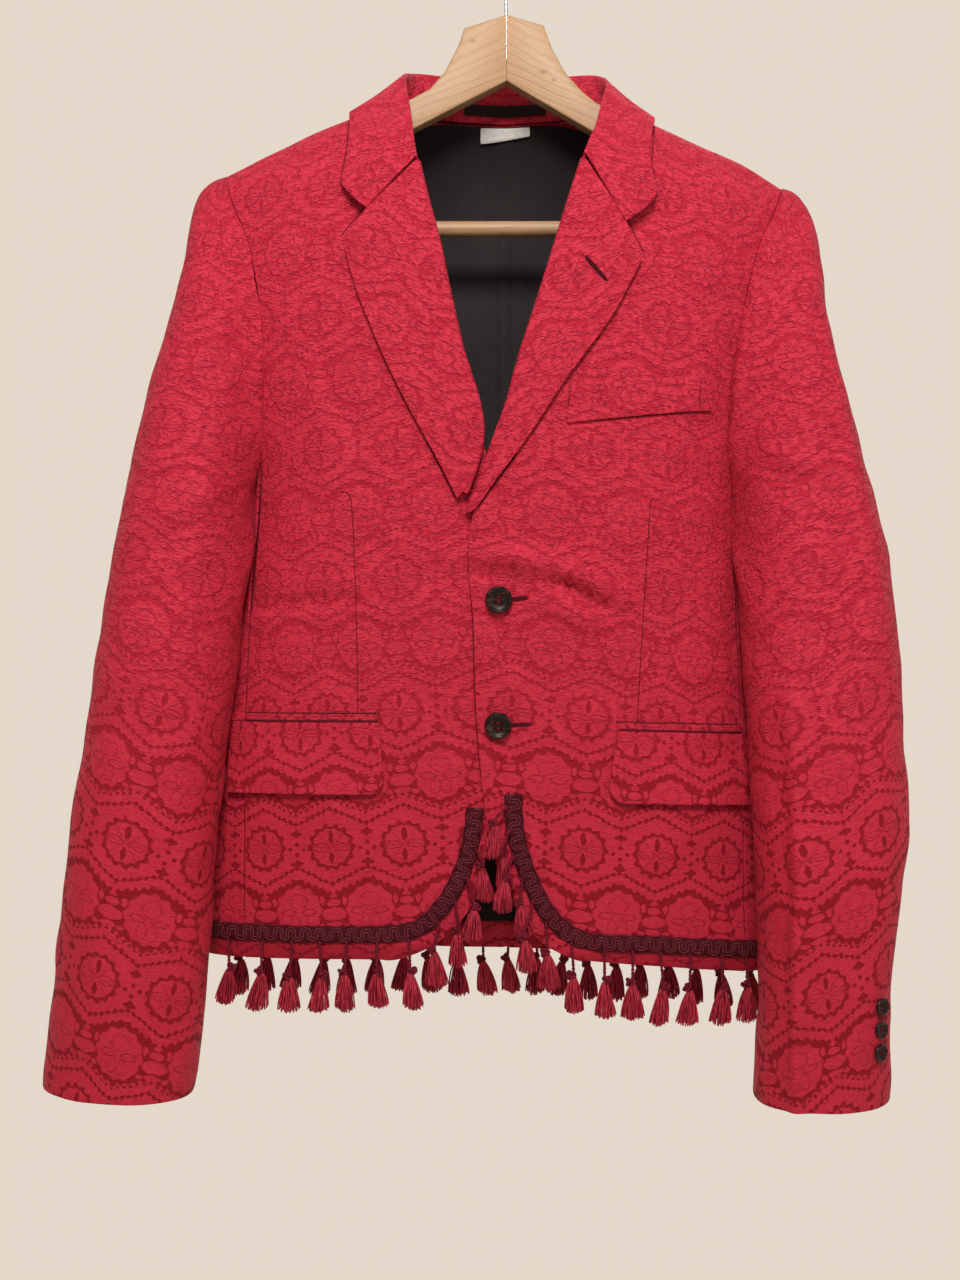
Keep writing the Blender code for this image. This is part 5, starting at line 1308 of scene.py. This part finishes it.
def skirt_routes(top, size, chance):
    """Threads of one tassel: narrow at the knot, wide and round at the foot."""
    lean = chance.uniform(-0.16, 0.16)
    wide = SKIRT_WIDE / 2 * size * chance.uniform(0.92, 1.15)
    long = SKIRT_LONG * size * chance.uniform(0.95, 1.05)
    shares = np.linspace(0, 1, 7)
    routes = []
    for k in range(STRANDS):
        reach = math.sqrt((k + 0.5) / STRANDS)
        turn = k * GOLDEN_TURN + chance.uniform(-0.2, 0.2)
        spread = reach * (SKIRT_NECK + (wide - SKIRT_NECK) * shares**0.82 - wide * 0.10 * shares**5)
        kink = chance.uniform(-0.0007, 0.0007, 2)
        bend = np.sin(math.pi * shares * chance.uniform(0.7, 1.6))
        fall = long * (1 - 0.13 * reach**2) * chance.uniform(0.95, 1.05) * shares
        x = spread * math.cos(turn) + bend * kink[0] - lean * fall
        y = spread * math.sin(turn) * 0.70 + bend * kink[1]
        routes.append(np.column_stack([x, y, -fall]) + top)
    return routes


def knot_route(middle, size, chance):
    """A loose overhand knot drawn as a closed three-lobed winding."""
    turn = np.linspace(0, 2 * math.pi, 28, endpoint=False)
    lobe = np.column_stack([
        np.sin(turn) + 2 * np.sin(2 * turn), -1.1 * np.sin(3 * turn), np.cos(turn) - 2 * np.cos(2 * turn),
    ])
    tilt = Matrix.Rotation(chance.uniform(0, 2.1), 3, "Y")
    tilt = tilt @ Matrix.Rotation(chance.uniform(-0.5, 0.5), 3, "X")
    return lobe @ np.array(tilt).T * KNOT_SCALE * size + middle


skirt_thread = streaked_finish("tassel_thread", (0.210, 0.0055, 0.0200), (0.560, 0.0340, 0.0640))
cord_thread = woven_finish("tassel_cord", (0.095, 0.0040, 0.0130), (0.230, 0.0130, 0.0300), 3000)
chance = np.random.default_rng(7)
for name, rows in TASSELS.items():
    ribbon = ribbons[name]
    face = ribbon.face
    cords = []
    knots = []
    skirts = []
    stations = np.linspace(0, ribbon.length, 500)
    trail = np.array([ribbon.flat(along) for along in stations])
    for *places, size in rows:
        root_x, root_z, sway, cord, lift = np.array(places) / 1000
        nearest = np.linalg.norm(trail - np.array([root_x, root_z]), axis=1).argmin()
        root = ribbon.place(stations[nearest], BRAID_WIDE / 2 - ROOT_TUCK, ROOT_LIFT)
        shares = np.linspace(0, 1, 15)
        eased = shares * shares * (3 - 2 * shares)
        path = root + np.column_stack([sway * eased, face * lift * eased, -(cord + CORD_TUCK) * shares])
        for ply in (0, math.pi):
            spin = ply + 2 * math.pi * shares * cord / CORD_TWIST
            twist = np.column_stack([np.cos(spin), np.sin(spin), np.zeros(15)]) * CORD_APART
            cords.append(path + twist)
        drawn = 0.6 + 0.4 * size
        aside = KNOT_ASIDE[0 if chance.uniform() < 0.75 else 1]
        centre = root + np.array([sway, face * lift, -cord - KNOT_DROP])
        knots.append(knot_route(centre + np.array([aside * drawn, 0, 0]), drawn, chance))
        top = centre + np.array([0, 0, -SKIRT_DROP * drawn])
        skirts += skirt_routes(top, max(size, SKIRT_LEAST), chance)
    for part, routes, radius, finish, shape in (
        ("cords", cords, CORD_RADIUS, cord_thread, {}),
        ("knots", knots, KNOT_RADIUS, cord_thread, {"closed": True}),
        ("threads", skirts, THREAD_RADIUS, skirt_thread, {"roundness": 0, "taper": (1.0, 0.8)}),
    ):
        sew(f"tassel_{part}_{name}", routes, radius, finish, f"fringe_{name}", **shape)


# Hanger
# Two halves of pale beech meet at the middle, a turned bar runs between their ends, and a bent
# steel wire makes the hook.
# Small knots in the wood, in mm: x, z, half width, half height
WOOD_KNOTS = [(-25.3, -100.3, 2.6, 1.8), (27.5, -123.7, 3.4, 2.2), (35.8, -129.8, 2.0, 1.4)]
GRAIN_SLOPE = 0.42
WOOD_EDGE = 0.0006
HOOK_BEND = 0.0236
HOOK_MIDDLE = -0.022
WIRE = 0.0016
STEM_FOOT = -0.112


def wood_finish(name, slope):
    """Pale wood whose grain follows a line of this slope."""
    made, x, y, z = begun(name, (0.72, 0.45, 0.24), 0.48)
    cosine = math.cos(slope)
    sine = math.sin(slope)
    along = x * cosine + z * sine
    across = z * cosine - x * sine + y * 0.35
    wander = noise(along * 9, across * 30) - 0.5
    grain = noise(along * 14, (across + wander * 0.010) * 380, 3.0, 0.6)
    year = ((across + wander * 0.016) * 900).math("SINE").above(0.62, 0.30)
    fleck = noise(along * 160, across * 1500).above(0.62, 0.05)
    tone = mixed(grain, (0.375, 0.205, 0.094), (0.515, 0.322, 0.180))
    tone = mixed(year * 0.30, tone, (0.310, 0.155, 0.063))
    tone = mixed(fleck * 0.25, tone, (0.250, 0.118, 0.048))
    flat = pair(x * 1000, z * 1000)
    for row in WOOD_KNOTS:
        found = oval(flat, *row)
        tone = mixed(found.below(1.3, 0.9) * 0.45, tone, (0.360, 0.165, 0.060))
        tone = mixed(found.below(0.6, 0.4) * 0.6, tone, (0.200, 0.075, 0.025))
    return finished(made, tone, grain * 0.12 - year * 0.06, 0.42 + grain * 0.14)


for side, side_name in SIDES:
    half = merged_copy(f"hanger_{side_name}", f"hanger_{side_name}_wood")
    applied(half, "BEVEL", width=WOOD_EDGE, segments=2, limit_method="ANGLE", angle_limit=math.radians(25))
    smooth_over(half, 35)
    dress(half, wood_finish(f"beech_{side_name}", -side * GRAIN_SLOPE), "wood", f"hanger_{side_name}")
low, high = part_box("hanger_bar")
middle = (low + high) / 2
radius = (high.z - low.z) / 2
span = (high.x - low.x) / 2
# The bar is turned down to a peg at each end: length from its end, share of its radius
ends = [(0.0, 0.0), (0.0, 0.6), (0.009, 0.6), (0.0092, 0.97), (0.0105, 1.0), (span * 0.5, 1.0)]
profile = [(from_end - span, share) for from_end, share in ends]
profile += [(0, 1.0)] + [(-along, share) for along, share in reversed(profile)]
turns = np.linspace(0, 2 * math.pi, 41)
bar = grid_piece("hanger_bar_wood", [
    [(middle.x + along, middle.y + y, middle.z + z) for y, z, _ in around_axis(share * radius, 0, turns)]
    for along, share in profile
])
dress(bar, wood_finish("beech_bar", 0.0), "wood", "hanger_bar")

steel, x, _, z = begun("bright_steel", (0.66, 0.66, 0.67), 0.18)
shader = steel.node_tree.nodes["Principled BSDF"]
feed(1.0, shader.inputs["Metallic"])
feed(0.14 + noise(x * 500, z * 160, 3.0) * 0.18, shader.inputs["Roughness"])
bend = [(0.0, STEM_FOOT), (0.0, -0.080), (0.0, -0.064), (0.0004, -0.059), (0.0012, -0.055)]
for degrees in range(-60, 201, 5):
    angle = math.radians(degrees)
    bend.append((HOOK_BEND * math.cos(angle), HOOK_MIDDLE + HOOK_BEND * math.sin(angle)))
hook = tubes("hanger_hook_wire", [np.array([(x, 0.0, z) for x, z in bend])], WIRE, 4)
dress(hook, steel, "steel", "hanger_hook")
